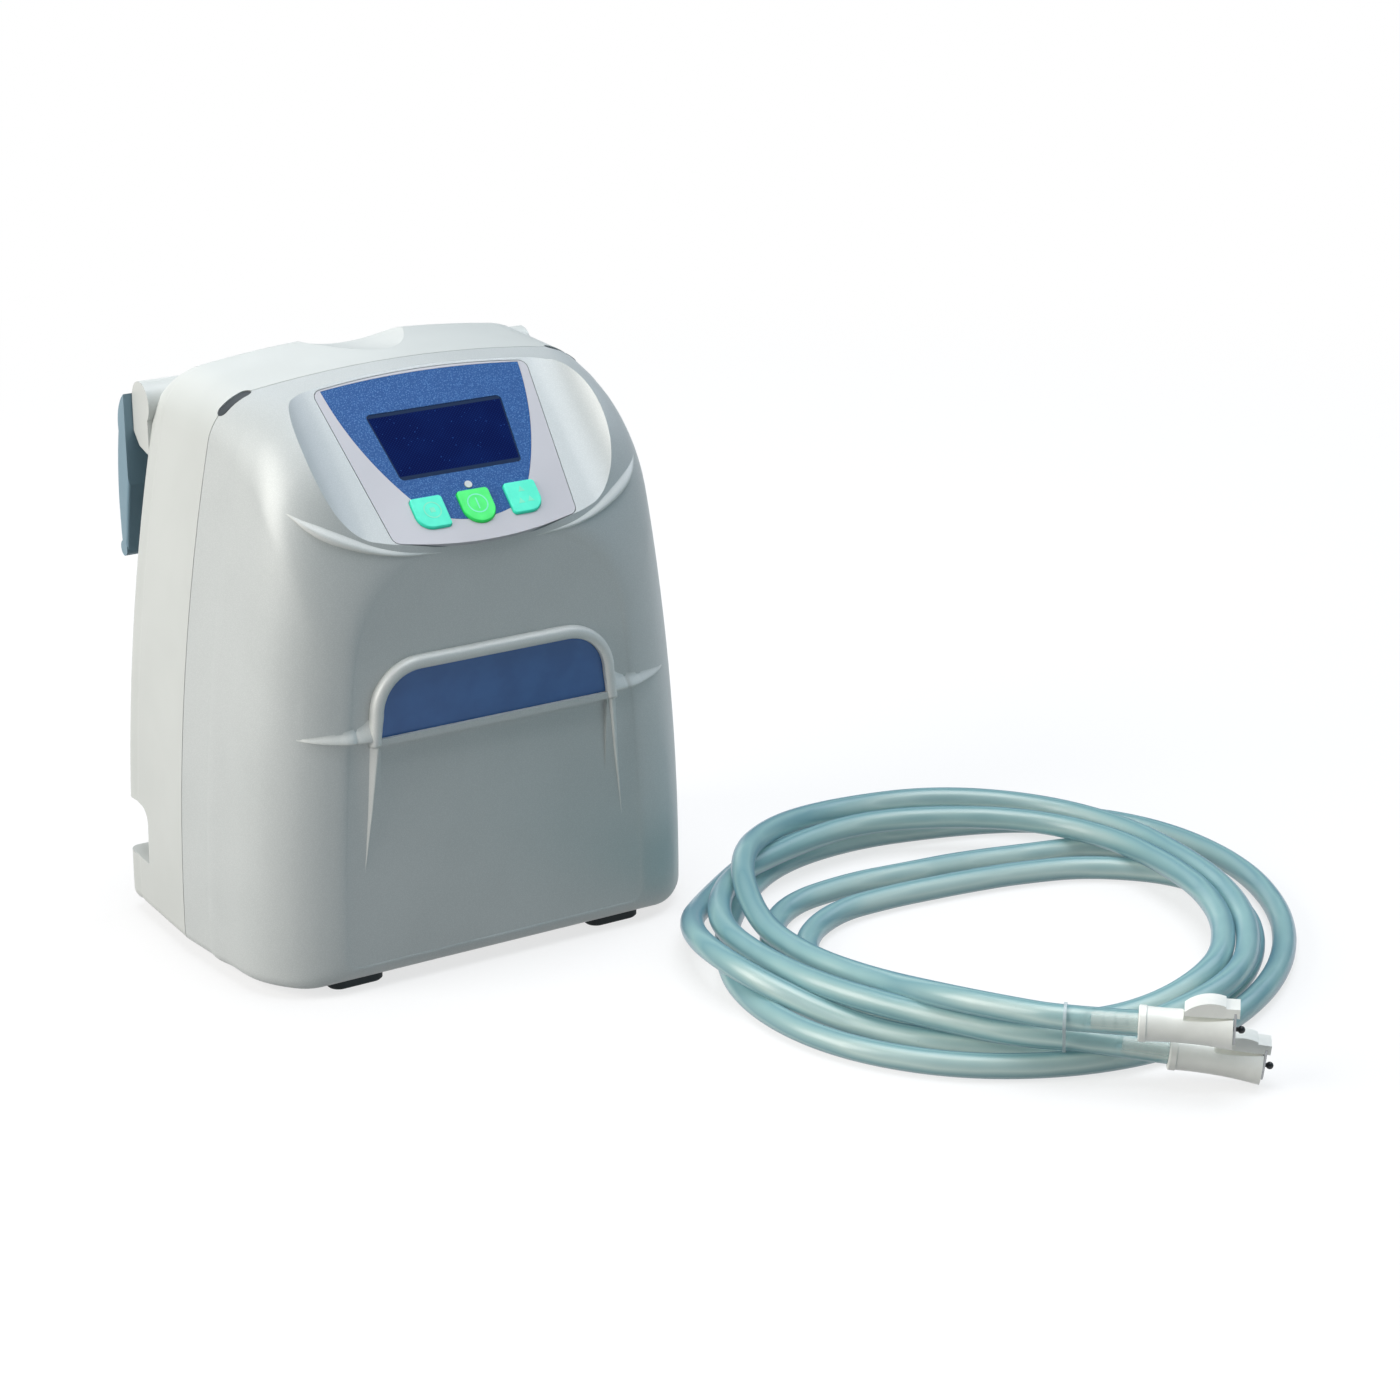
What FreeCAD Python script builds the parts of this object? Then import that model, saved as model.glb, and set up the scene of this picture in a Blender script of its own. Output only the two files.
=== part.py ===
import FreeCAD, Part
import math
import os

Vector = FreeCAD.Vector
Placement = FreeCAD.Placement
Rotation = FreeCAD.Rotation

# Compression therapy pump: a bread-loaf housing in two shells with a sloping control panel on its
# front top corner, a fold-out bed hook on its back, and a coiled pair of air hoses beside it.
# Millimetres. +X to the right seen from the front, the front faces -Y, +Z up, floor at z = 0.

# ---------------------------------------------------------------- housing
HALF_WIDTH = 102.0        # at the seam, just above the base
HOUSING_TOP = 227.3       # crown of the seam above the floor
FLOOR_GAP = 4.0           # housing base above the floor
FRONT_DEPTH = 69.5        # seam to the flat front face
REAR_DEPTH = 55.0         # seam to the back face
WALL = 3.0
SEAM_GAP = 0.4            # reveal line between the two shells

SIDE_BOW_R = 958.0        # the sides bow inwards as they rise
CROWN_R = 459.0           # the top is slightly crowned
SHOULDER_R = 22.5         # seam corner between side and crown
SHOULDER_GROWTH = 0.29    # the corner opens up towards the front
SHOULDER_BLEND = 0.6
SHOULDER_CAP = 0.72
SIDE_DRAFT = 0.13         # front shell narrows towards the front
TOP_DRAFT = 0.05
SIDE_ROUND = 29.0         # roll of the sides into the front face
TOP_ROUND = 51.0          # roll of the top into the front face
BASE_ROUND = 7.0
REAR_SIDE_ROUND = 4.5
REAR_TOP_ROUND = 12.0
REAR_BASE_ROUND = 3.5
BASE_EDGE_R = 5.0

LIP_DEPTH = 3.0           # tongue that lines the two shells up
LIP_FIT = 0.15
LIP_INSET = 1.5           # outer part of the wall that stays beside the tongue
LIP_BEAD = 0.5            # tongue stands this far inside the wall

# ---------------------------------------------------------------- sloping control panel
PANEL_TILT = 41.75        # degrees above horizontal
PANEL_START_Z = 176.4     # lower edge of the panel plane
PANEL_START_IN = 0.8      # behind the front face
SCOOP_FLAT = 46.5         # half width of the flat floor of the scoop
SCOOP_R = 20.5            # concave walls either side of the panel
SCOOP_BEFORE = 25.0       # cutter before the slope's lower edge
SCOOP_HIGH = 70.0

BEZEL_HALF_LOW = 38.5
BEZEL_HALF_HIGH = 45.6
BEZEL_SIDE_LOW = 1.0
BEZEL_SIDE_HIGH = 70.5
BEZEL_SAG = 5.0           # how far the lower edge bulges down
BEZEL_RISE = 3.6
BEZEL_CORNER_R = 3.6
BEZEL_THICK = 2.0
BEZEL_GAP = 0.3
OVERLAY_THICK = 0.4
OVERLAY_GAP = 0.1

LCD_HALF_LOW = 25.6
LCD_HALF_HIGH = 28.9
LCD_LOW = 26.6
LCD_HIGH = 57.1
LCD_CORNER_R = 2.0
LENS_THICK = 1.5
LENS_SINK = 0.15
LENS_GAP = 0.15
LCD_MODULE = (68.0, 36.0, 7.0)
OVERLAY_HALF = 42.2
OVERLAY_WAIST = (35.6, 41.0)
OVERLAY_HIP = (20.0, 10.5)
OVERLAY_FOOT = 5.4
PANEL_OPENING_HALF = 35.5
PANEL_OPENING_LOW = 2.0
PANEL_OPENING_HIGH = 61.5

KEY_WIDTH = 13.2
KEY_HEIGHT = 13.5
KEY_PITCH = 19.7
KEY_LOW = 4.2             # lower edge of the outer keys along the panel
KEY_DIP = 0.9             # the centre key's round foot reaches lower
KEY_WAIST = 5.2           # where its straight sides end
KEY_PROUD = 1.2
KEY_DEPTH = 5.2
KEY_FIT = 0.3
KEY_TRAVEL = 1.0
KEY_FLANGE = 0.9
KEY_CORNER_R = 1.5
KEY_SWEEP_R = 6.0         # outer lower corner of the outer keys
LED_R = 1.5
LED_ALONG = 20.4
KEYPAD_BOARD = (68.0, 20.0, 1.6)
SWITCH_R = 2.2
SWITCH_CLEAR = 0.5        # left below a fully pressed key

# ---------------------------------------------------------------- badge arch, wings and field
BADGE_BASE_Z = 103.0
BADGE_TOP_Z = 128.2
BADGE_HALF = 48.8
BADGE_CORNER_R = 16.0
BADGE_LEAN = 1.3
TRIM_WIDTH = 4.2
TRIM_PROUD = 3.0
BADGE_PROUD = 1.4
BADGE_THICK = 1.0
BADGE_GAP = 0.1
LIP_HEIGHT = 2.4
WING_REACH = 76.0
WING_Z = 105.0
WING_PROUD = 2.4
WING_BACK = 5.0
FIELD_LOW_Z = 48.0
FIELD_LOW_HALF = 56.5

# ---------------------------------------------------------------- seam plugs and top hand notch
PLUG_LENGTH = 15.0
PLUG_WIDTH = 5.4
PLUG_DEPTH = 5.0
PLUG_SINK = 0.5
PLUG_FIT = 0.1
PLUG_OUT = 8.0            # cutter beyond the skin
PLUG_OVER = 4.0
PLUG_SHARE = 0.62         # place along the shoulder's arc
NOTCH_R = 66.0
NOTCH_DEPTH = 5.5
NOTCH_LENGTH = 35.0

# ---------------------------------------------------------------- rear service bay
BAY_LOW_Z = 25.5
BAY_HIGH_Z = 48.5
BAY_DEPTH = 21.0
BAY_CORNER_R = 7.0
PORT_X = 34.0
PORT_SPACING = 26.0
PORT_BORE_R = 4.2
PORT_R = 7.0
PORT_FLANGE_R = 8.0
PORT_FLANGE = 1.2
PORT_BORE_DEPTH = 14.0
PORT_LENGTH = 28.0
PORT_BARB_R = 3.2
PORT_FIT = 0.05
PORT_BODY = 16.0          # behind the bay wall's outer face
PORT_NUT = 2.5
PORT_AIR_R = 1.6
INLET_X = -52.0
INLET_SIZE = (22.0, 14.0)
INLET_LENGTH = 18.0
INLET_FLANGE = 1.5
INLET_LIP = 1.0
INLET_WALL = 1.8
INLET_SOCKET_DEPTH = 12.0
INLET_PIN_R = 1.2
INLET_PIN_LENGTH = 7.0
INLET_PIN_PITCH = 8.6

# ---------------------------------------------------------------- bed hook and knuckles
HINGE_BACK = 3.0          # hinge axis behind the back face
HINGE_DOWN = 19.8         # hinge axis below the crown
KNUCKLE_R = 8.4
KNUCKLE_OUT = 84.5
KNUCKLE_IN = 64.0
KNUCKLE_DROP = 18.0       # foot of the knuckle below the hinge axis
KNUCKLE_CUT = 5.0
HOOK_HALF = 88.0
HOOK_CLEAR = 0.4
HOOK_DROP = 66.5          # tip of the hook below the hinge axis
HOOK_TOP_RISE = 2.3
HOOK_BACK_BOW = 11.4      # furthest bulge of its back behind the knuckles
HOOK_EDGE_R = 1.0
HUB_R = 6.0
HUB_IN = 46.0
HUB_POCKET = 0.6
HUB_SIDE_GAP = 0.5
PIN_R = 2.5
PIN_FIT = 0.05
PIN_IN = 44.0
PIN_OUT = 79.0

# ---------------------------------------------------------------- feet and housing screws
FOOT_LENGTH = 23.0
FOOT_DEPTH = 16.0
FOOT_X = 57.0
FOOT_FRONT = 14.5         # foot centre behind the front face
FOOT_REAR = 14.0          # foot centre ahead of the back face
FOOT_CORNER_R = 5.0
FOOT_SPIGOT_R = 2.5
FOOT_FIT = 0.05
FOOT_SEAT = 0.1           # left between foot and base
BOSS_R = 4.6
BOSS_RIB = 26.0           # web from a screw boss to the side wall
BOSS_RIB_HALF = 1.2
SCREW_R = 1.8
SCREW_FIT = 0.05
SCREW_HEAD_R = 3.3
SCREW_HEAD = 2.4
SCREW_SINK = 9.0
SCREW_BITE = 14.0
SCREW_LOW_IN = 16.0       # lower screws inside the seam's half width
SCREW_LOW_UP = 11.0       # above the base
SCREW_HIGH_IN = 40.0
SCREW_HIGH_DOWN = 49.3    # upper screws below the crown

# ---------------------------------------------------------------- inner parts
BOARD_THICK = 1.6
MAIN_BOARD = (120.0, 92.0)
MAIN_BOARD_Z = 44.0
CAPACITORS = ((-30.0, 20.0), (-18.0, 20.0))
BOARD_STANDOFF = 8.0
STANDOFF_R = 3.2
MOTOR_R = 17.0
MOTOR_LENGTH = 42.0
PUMP_AHEAD = 29.0         # motor axis ahead of the back face
RAIL_X = 20.0
RAIL_HALF = 3.0
RAIL_BELOW = 22.0
RAIL_ABOVE = 52.0
BRACKET_THICK = 2.5
BRACKET_HALF = 30.0
MOTOR_X = -40.0           # left end of the motor can
SHAFT_DEEP = 12.0
CRANK_R = 1.5
CRANK_THROW = 6.0
FEED_UP = 20.0            # air outlet above the pump head's foot
FEED_IN = 8.0             # and behind its front
MANIFOLD_X = 31.5
MANIFOLD_Z = 108.0
STUB = 5.0
LINE_CLEAR = 11.0
LINE_END = 0.3            # air line ends just off its stub
LINE_WALL = 0.6
CAPACITOR_R = 4.0
CAPACITOR_HEIGHT = 12.0
SUPPLY_CORE = 26.0        # transformer's edge
SINK_FIN = 1.5
SINK_PITCH = 4.0
BOARD_SCREW_R = 1.25
BOARD_SCREW_HEAD_R = 2.6
BOARD_SCREW_HEAD = 1.8
BUZZER_X = 42.0
BUZZER_Z = 118.0
# components on the main board: x, z, width, height, depth
BOARD_PARTS = [(0, 96, 16, 16, 1.6), (26, 84, 12, 20, 1.4), (-38, 108, 26, 8, 9), (-40, 82, 10, 10, 5), (24, 58, 34, 9, 8)]
WHEEL_R = 13.0
WHEEL_THICK = 5.0
SHAFT_R = 2.0
SHAFT_FIT = 0.05
HEAD_SIZE = (44.0, 38.0, 26.0)
BATTERY = (62.0, 32.0, 58.0)
BATTERY_R = 4.0
BATTERY_RISE = 6.0        # underside above the bay's roof
BATTERY_CLEAR = 8.5       # left below the compressor bracket
SUPPLY = (64.0, 30.0, 40.0)
MANIFOLD = (52.0, 22.0, 20.0)
VALVE_R = 6.5
VALVE_HEIGHT = 18.0
INNER_TUBE_R = 2.6
BUZZER_R = 8.0
BUZZER_THICK = 5.0

# ---------------------------------------------------------------- hoses
HOSE_R = 4.75
BEND_SHARE = 0.45         # of the shorter run that a bend may use
HOSE_GAP = 0.1            # hose above the floor
COIL_LEVEL = 9.3          # top of the lower layer of hose
COIL_HEIGHT = 19.2        # top of the upper layer
BARB_LENGTH = 17.0
BARB_R = 3.7
BARB_WAIST = 0.84         # small end of each barb, as a share
BARB_COUNT = 4
COLLAR_R = 6.7
COLLAR = 3.0
COUPLING_START_R = 6.4    # the body is waisted between its two ends
COUPLING_WAIST_R = 6.1
COUPLING_WAIST = 11.0     # from the collar
COUPLING_MOUTH_R = 7.5
COUPLING_BODY = 30.3
SOCKET_R = 2.6
SOCKET_DEPTH = 14.0

BUTTON_HALF = 4.5         # thumb button over the coupling's mouth
BUTTON_REACH = (33.0, 47.6)
BUTTON_TOP = 11.2
BUTTON_FOOT = 6.0
BUTTON_STEP = (46.8, 52.6)
BUTTON_STEP_TOP = 9.8
BUTTON_STEP_FOOT = 6.2
LATCH_TRAVEL = 1.6
LATCH_FIT = 0.3
LATCH_SEAT = 0.05         # plate in the button's slot
LATCH_THICK = 0.8
LATCH_HALF = 4.6
LATCH_TOP = 8.0
LATCH_CENTRE = -1.0       # centre of the plate's round foot
LATCH_HOLE_R = 2.9
VALVE_PIN_R = 0.8
VALVE_BALL_R = 1.4
VALVE_REACH = 3.1         # ball's centre ahead of the mouth
VALVE_GUIDE = 3.0
VALVE_FIT = 0.05

TIP_NOZZLE_R = 4.1        # male tip, a sliding fit in an outlet port
TIP_NOZZLE = 13.0
TIP_COLLAR_R = 4.7
TIP_COLLAR = 4.0
TIP_GROOVE = 1.6

# where the couplings' barbs enter their hoses: place, heading and slope in degrees
UPPER_PLACE = ((129.9, -280.3, 27.0), -40.0, 0.0)
LOWER_PLACE = ((144.8, -280.3, 13.3), -38.5, -5.5)
TIP_PLACES = (((275.0, -126.0), -55.0), ((276.0, -103.5), -62.0))

# the wound hoses' envelope: radii round the coil's centre every 22.5 degrees from +X, by layer
COIL_CENTRE = (178.0, -158.0)
COIL_LAYERS = (
    # height, outer radii, inner radii
    ((0.0, COIL_LEVEL),
     (126, 130, 126, 123, 122, 121, 120, 125, 123, 127, 126, 126, 122, 118, 117, 120),
     (94, 68, 50, 41, 39, 45, 59, 72, 79, 83, 85, 86, 90, 97, 96, 96)),
    ((COIL_LEVEL - 0.5, COIL_HEIGHT),
     (97, 104, 112, 119, 120, 112, 113, 125, 130, 127, 114, 114, 112, 111, 103, 98),
     (78, 81, 85, 87, 93, 95, 98, 90, 85, 84, 86, 98, 94, 91, 84, 79)),
)
UPPER_ROUTE = [(95.8, -192.1, 14.7), (103.5, -226.0, 23.5), (112.0, -257.5, 26.2), (122.2, -273.9, 27.0)]
LOWER_ROUTE = [(107.5, -245.5, 14.8), (118.5, -260.0, 15.3), (130.0, -269.2, 15.3), (138.5, -275.4, 14.0)]
TIP_ROOM = 3.0            # left ahead of each tip
TIP_FIT = 0.3
TIE_THICK = 0.6
TIE_WIDTH = 1.2
TIE_FIT = 0.3

# ---------------------------------------------------------------- derived places
FRONT_REACH = FRONT_DEPTH + TRIM_PROUD
HOOK_REACH = HINGE_BACK + KNUCKLE_R + HOOK_CLEAR + HOOK_BACK_BOW
REAR_REACH = REAR_DEPTH + HOOK_REACH
SEAM_Y = (FRONT_REACH - REAR_REACH) / 2
FRONT_Y = SEAM_Y - FRONT_DEPTH
BACK_Y = SEAM_Y + REAR_DEPTH
BAY_Y = BACK_Y - BAY_DEPTH
HINGE_Y = BACK_Y + HINGE_BACK
HINGE_Z = HOUSING_TOP - HINGE_DOWN
KNUCKLE_LOW_Z = HINGE_Z - KNUCKLE_DROP
HOOK_LOW_Z = HINGE_Z - HOOK_DROP
SCREW_LOW = (HALF_WIDTH - SCREW_LOW_IN, FLOOR_GAP + SCREW_LOW_UP)
SCREW_HIGH = (HALF_WIDTH - SCREW_HIGH_IN, HOUSING_TOP - SCREW_HIGH_DOWN)
BATTERY_Z = BAY_HIGH_Z + WALL + BATTERY_RISE
PUMP_Z = BATTERY_Z + BATTERY[2] + BATTERY_CLEAR + RAIL_BELOW


# ================================================================ helpers
def save(name, *shapes):
    """Write one node: one solid, or a group of separate solids."""
    solids = [solid for shape in shapes for solid in shape.Solids]
    shape = solids[0] if len(solids) == 1 else Part.makeCompound(solids)
    shape.exportStep("parts/" + name + ".step")


def box(low, high):
    """Box between two corners."""
    size = [high[i] - low[i] for i in range(3)]
    return Part.makeBox(size[0], size[1], size[2], Vector(*low))


def rod(radius, start, end):
    """Cylinder from start to end."""
    axis = Vector(*end) - Vector(*start)
    return Part.makeCylinder(radius, axis.Length, Vector(*start), axis)


def fuse(first, *others):
    """Union without leftover seams."""
    return first.multiFuse(list(others)).removeSplitter()


def arc(start, middle, end):
    """Edge of an arc through three points."""
    return Part.Arc(Vector(*start), Vector(*middle), Vector(*end)).toShape()


def line(start, end):
    """Straight edge."""
    return Part.LineSegment(Vector(*start), Vector(*end)).toShape()


def polygon(points):
    """Closed planar face through points."""
    return Part.Face(Part.makePolygon([Vector(*point) for point in points + points[:1]]))


def rounded_plate(half_x, half_y, corner, low_z, height, centre=(0.0, 0.0)):
    """Upright rounded rectangle."""
    plate = box((centre[0] - half_x, centre[1] - half_y, low_z),
                (centre[0] + half_x, centre[1] + half_y, low_z + height))
    upright = [edge for edge in plate.Edges if abs(edge.tangentAt(edge.FirstParameter).z) > 0.9]
    return plate.makeFillet(corner, upright)


def quarter_drop(radius, depth):
    """Inset of a quarter round at a depth behind the face it rolls into."""
    if depth >= radius:
        return 0.0
    return radius - math.sqrt(radius ** 2 - (radius - max(depth, 0.0)) ** 2)


# ================================================================ housing outline
def circle_meet(first, first_r, second, second_r):
    """Upper right crossing of two circles."""
    across = second[0] - first[0]
    up = second[1] - first[1]
    gap = math.hypot(across, up)
    along = (first_r ** 2 - second_r ** 2 + gap ** 2) / (2 * gap)
    off = math.sqrt(max(first_r ** 2 - along ** 2, 0.0))
    middle = (first[0] + along * across / gap, first[1] + along * up / gap)
    one = (middle[0] + off * up / gap, middle[1] - off * across / gap)
    two = (middle[0] - off * up / gap, middle[1] + off * across / gap)
    return max(one, two, key=sum)


def outline_points(half, base, top, shoulder, edge_r, inset):
    """Right half of the housing outline: joints and arc middles from the base to the crown."""
    bow = SIDE_BOW_R - inset
    crown = CROWN_R - inset
    side_c = (half - bow, base + edge_r)
    crown_c = (0.0, top - crown)
    corner_c = circle_meet(side_c, bow - shoulder, crown_c, crown - shoulder)
    side_turn = math.atan2(corner_c[1] - side_c[1], corner_c[0] - side_c[0])
    crown_turn = math.atan2(corner_c[1] - crown_c[1], corner_c[0] - crown_c[0])

    def on(centre, radius, turn):
        """Point on an arc of the outline."""
        return (centre[0] + radius * math.cos(turn), centre[1] + radius * math.sin(turn))

    base_c = (half - edge_r, base + edge_r)
    return [
        (half - edge_r, base),
        on(base_c, edge_r, -math.pi / 4),
        (half, base + edge_r),
        on(side_c, bow, side_turn / 2),
        on(side_c, bow, side_turn),
        on(corner_c, shoulder, (side_turn + crown_turn) / 2),
        on(corner_c, shoulder, crown_turn),
        (0.0, top),
    ]


def outline_wire(y, half, base, top, shoulder, edge_r=BASE_EDGE_R, inset=0.0):
    """Closed eight-edge outline of the housing in the plane y."""
    right = outline_points(half, base, top, shoulder, edge_r, inset)
    here = [(x, y, z) for x, z in right]
    there = [(-x, y, z) for x, z in right]
    edges = [
        line(there[0], here[0]),
        arc(here[0], here[1], here[2]),
        arc(here[2], here[3], here[4]),
        arc(here[4], here[5], here[6]),
        arc(here[6], here[7], there[6]),
        arc(there[6], there[5], there[4]),
        arc(there[4], there[3], there[2]),
        arc(there[2], there[1], there[0]),
    ]
    return Part.Wire(edges)


def front_wire(depth, inset=0.0):
    """Outline of the front shell at a depth behind its front face, or of its inside at that depth."""
    back = FRONT_DEPTH - depth
    roll = depth - inset
    half = HALF_WIDTH - SIDE_DRAFT * back - quarter_drop(SIDE_ROUND - inset, roll) - inset
    drop = quarter_drop(TOP_ROUND - inset, roll)
    top = HOUSING_TOP - TOP_DRAFT * back - drop - inset
    base = FLOOR_GAP + quarter_drop(BASE_ROUND - inset, roll) + inset
    shoulder = SHOULDER_R + SHOULDER_GROWTH * max(back, 0.0) + SHOULDER_BLEND * drop
    shoulder = min(shoulder, SHOULDER_CAP * half) - inset
    return outline_wire(FRONT_Y + depth, half, base, top, shoulder, BASE_EDGE_R, inset)


def rear_wire(depth, inset=0.0):
    """Outline of the rear shell at a depth ahead of its back face, or of its inside."""
    roll = depth - inset
    half = HALF_WIDTH - quarter_drop(REAR_SIDE_ROUND - inset, roll) - inset
    drop = quarter_drop(REAR_TOP_ROUND - inset, roll)
    top = HOUSING_TOP - drop - inset
    base = FLOOR_GAP + quarter_drop(REAR_BASE_ROUND - inset, roll) + inset
    shoulder = SHOULDER_R - SHOULDER_BLEND * drop - inset
    return outline_wire(BACK_Y - depth, half, base, top, shoulder, BASE_EDGE_R, inset)


def roll_depths(radius, steps):
    """Depths spaced evenly round a quarter roll."""
    turns = [math.pi / 2 * k / steps for k in range(steps + 1)]
    return [radius * (1 - math.cos(turn)) for turn in turns]


def rolled_body(wire, radius, full, steps):
    """Solid that rolls in from a flat face over a radius and then runs straight to its full depth."""
    depths = roll_depths(radius, steps)
    rolled = Part.makeLoft([wire(depth) for depth in depths], True, False)
    straight = Part.makeLoft([wire(depths[-1]), wire(full)], True, True)
    return rolled.fuse(straight)


def front_body(inset=0.0, overrun=0.0):
    """Solid of the front shell's outside, or of its inside with an inset."""
    def wire(depth):
        return front_wire(depth + inset, inset)
    return rolled_body(wire, TOP_ROUND - inset, FRONT_DEPTH + overrun - inset, 7)


def rear_body(inset=0.0, overrun=0.0):
    """Solid of the rear shell's outside, or of its inside with an inset."""
    def wire(depth):
        return rear_wire(depth + inset, inset)
    return rolled_body(wire, REAR_TOP_ROUND - inset, REAR_DEPTH + overrun - inset, 4)


# ================================================================ panel frame
def on_panel(shape):
    """Move a shape from panel axes (across, along the slope, out of it) onto the housing."""
    moved = shape.copy()
    origin = Vector(0, FRONT_Y + PANEL_START_IN, PANEL_START_Z)
    moved.Placement = Placement(origin, Rotation(Vector(1, 0, 0), PANEL_TILT)).multiply(moved.Placement)
    return moved


def scoop_tool(offset=0.0):
    """Material removed above the sloping panel: a flat floor between two concave walls."""
    reach = SCOOP_R + offset
    turn = math.pi / 4
    middle = (SCOOP_FLAT + reach * math.sin(turn), SCOOP_R - reach * math.cos(turn))
    right = [(SCOOP_FLAT, -offset), middle, (SCOOP_FLAT + reach, SCOOP_R)]
    high = SCOOP_HIGH
    low_s = -SCOOP_BEFORE
    run = SCOOP_BEFORE + 2 * (HOUSING_TOP - PANEL_START_Z) / math.sin(math.radians(PANEL_TILT))
    right3 = [(x, low_s, n) for x, n in right]
    left3 = [(-x, low_s, n) for x, n in right]
    edges = [
        line(left3[0], right3[0]),
        arc(*right3),
        line(right3[2], (right[2][0], low_s, high)),
        line((right[2][0], low_s, high), (-right[2][0], low_s, high)),
        line((-right[2][0], low_s, high), left3[2]),
        arc(left3[2], left3[1], left3[0]),
    ]
    return on_panel(Part.Face(Part.Wire(edges)).extrude(Vector(0, run, 0)))


def bezel_outline(grow=0.0):
    """Face of the control panel's outline on the slope."""
    low_half = BEZEL_HALF_LOW + grow
    high_half = BEZEL_HALF_HIGH + grow
    low = BEZEL_SIDE_LOW - grow
    high = BEZEL_SIDE_HIGH + grow
    edges = [
        arc((-low_half, low, 0), (0, low - BEZEL_SAG, 0), (low_half, low, 0)),
        line((low_half, low, 0), (high_half, high, 0)),
        arc((high_half, high, 0), (0, high + BEZEL_RISE, 0), (-high_half, high, 0)),
        line((-high_half, high, 0), (-low_half, low, 0)),
    ]
    return Part.Face(Part.Wire(edges))


def bezel_block(low_n, high_n, grow=0.0):
    """Solid of the control panel's outline between two heights off the slope, corners rounded."""
    face = bezel_outline(grow)
    face.translate(Vector(0, 0, low_n))
    block = face.extrude(Vector(0, 0, high_n - low_n))
    corners = [edge for edge in block.Edges if abs(edge.tangentAt(edge.FirstParameter).z) > 0.99]
    return block.makeFillet(BEZEL_CORNER_R + grow, corners)


def window_block(low_n, high_n, shrink=0.0):
    """Solid of the display window's trapezoid."""
    low = LCD_LOW + shrink
    high = LCD_HIGH - shrink
    low_half = LCD_HALF_LOW - shrink
    high_half = LCD_HALF_HIGH - shrink
    face = polygon([(-low_half, low, low_n), (low_half, low, low_n),
                    (high_half, high, low_n), (-high_half, high, low_n)])
    block = face.extrude(Vector(0, 0, high_n - low_n))
    corners = [edge for edge in block.Edges if abs(edge.tangentAt(edge.FirstParameter).z) > 0.99]
    return block.makeFillet(LCD_CORNER_R, corners)


def key_block(x, low_n, high_n, grow=0.0):
    """Key outline: the centre one has a round foot, the outer ones a swept outer lower corner."""
    half = KEY_WIDTH / 2 + grow
    low = KEY_LOW - grow
    top = KEY_LOW + KEY_HEIGHT + grow
    rise = Vector(0, 0, high_n - low_n)
    if x == 0:
        waist = KEY_LOW + KEY_WAIST
        edges = [
            line((-half, top, low_n), (-half, waist, low_n)),
            arc((-half, waist, low_n), (0, low - KEY_DIP, low_n), (half, waist, low_n)),
            line((half, waist, low_n), (half, top, low_n)),
            line((half, top, low_n), (-half, top, low_n)),
        ]
        block = Part.Face(Part.Wire(edges)).extrude(rise)
        return block.makeFillet(KEY_CORNER_R + grow, upright_edges(block, lambda centre: centre.y > top - 1))
    block = box((x - half, low, low_n), (x + half, top, high_n))
    outward = 1 if x > 0 else -1
    swept = upright_edges(block, lambda centre: centre.y < low + 1 and (centre.x - x) * outward > 0)
    block = block.makeFillet(KEY_SWEEP_R + grow, swept)
    corners = upright_edges(block, lambda centre: centre.y > top - 1 or (centre.x - x) * outward < 1 - half)
    return block.makeFillet(KEY_CORNER_R + grow, corners)


def upright_edges(block, chosen):
    """Straight edges off the slope whose middles are chosen."""
    return [edge for edge in block.Edges
            if abs(edge.tangentAt(edge.FirstParameter).z) > 0.99 and chosen(edge.CenterOfMass)]


def overlay_block(low_n, high_n, shrink=0.0):
    """Solid of the printed overlay: wide at the top, drawn in to a rounded foot between the keys."""
    high = BEZEL_SIDE_HIGH - shrink
    half = OVERLAY_HALF - shrink
    foot = OVERLAY_FOOT + shrink
    waist = [(side * (OVERLAY_WAIST[0] - shrink), OVERLAY_WAIST[1], low_n) for side in (-1, 1)]
    hip = [(side * (OVERLAY_HIP[0] - shrink), OVERLAY_HIP[1], low_n) for side in (-1, 1)]
    edges = [
        arc((half, high, low_n), (0, high + BEZEL_RISE - 1, low_n), (-half, high, low_n)),
        arc((-half, high, low_n), waist[0], hip[0]),
        arc(hip[0], (0, foot, low_n), hip[1]),
        arc(hip[1], waist[1], (half, high, low_n)),
    ]
    return Part.Face(Part.Wire(edges)).extrude(Vector(0, 0, high_n - low_n))


KEY_NAMES = {"key_left": -KEY_PITCH, "key_centre": 0.0, "key_right": KEY_PITCH}


# ================================================================ front shell
def arch_face(grow=0.0, y=FRONT_Y):
    """Face of the badge's arch: leaning sides and round upper corners."""
    base = BADGE_BASE_Z - (LIP_HEIGHT if grow > 0 else -BADGE_GAP)
    half = BADGE_HALF + grow
    top = BADGE_TOP_Z + grow
    corner = BADGE_CORNER_R + grow
    turn = (half - BADGE_LEAN, top - corner)
    flat = half - BADGE_LEAN - corner
    slant = corner * math.sin(math.pi / 4)
    points = [(half, base), turn, (flat + slant, top - corner + slant), (flat, top)]
    right = [(x, y, z) for x, z in points]
    left = [(-x, y, z) for x, z in points]
    edges = [
        line(left[0], right[0]),
        line(right[0], right[1]),
        arc(right[1], right[2], right[3]),
        line(right[3], left[3]),
        arc(left[3], left[2], left[1]),
        line(left[1], left[0]),
    ]
    return Part.Face(Part.Wire(edges))


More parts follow.
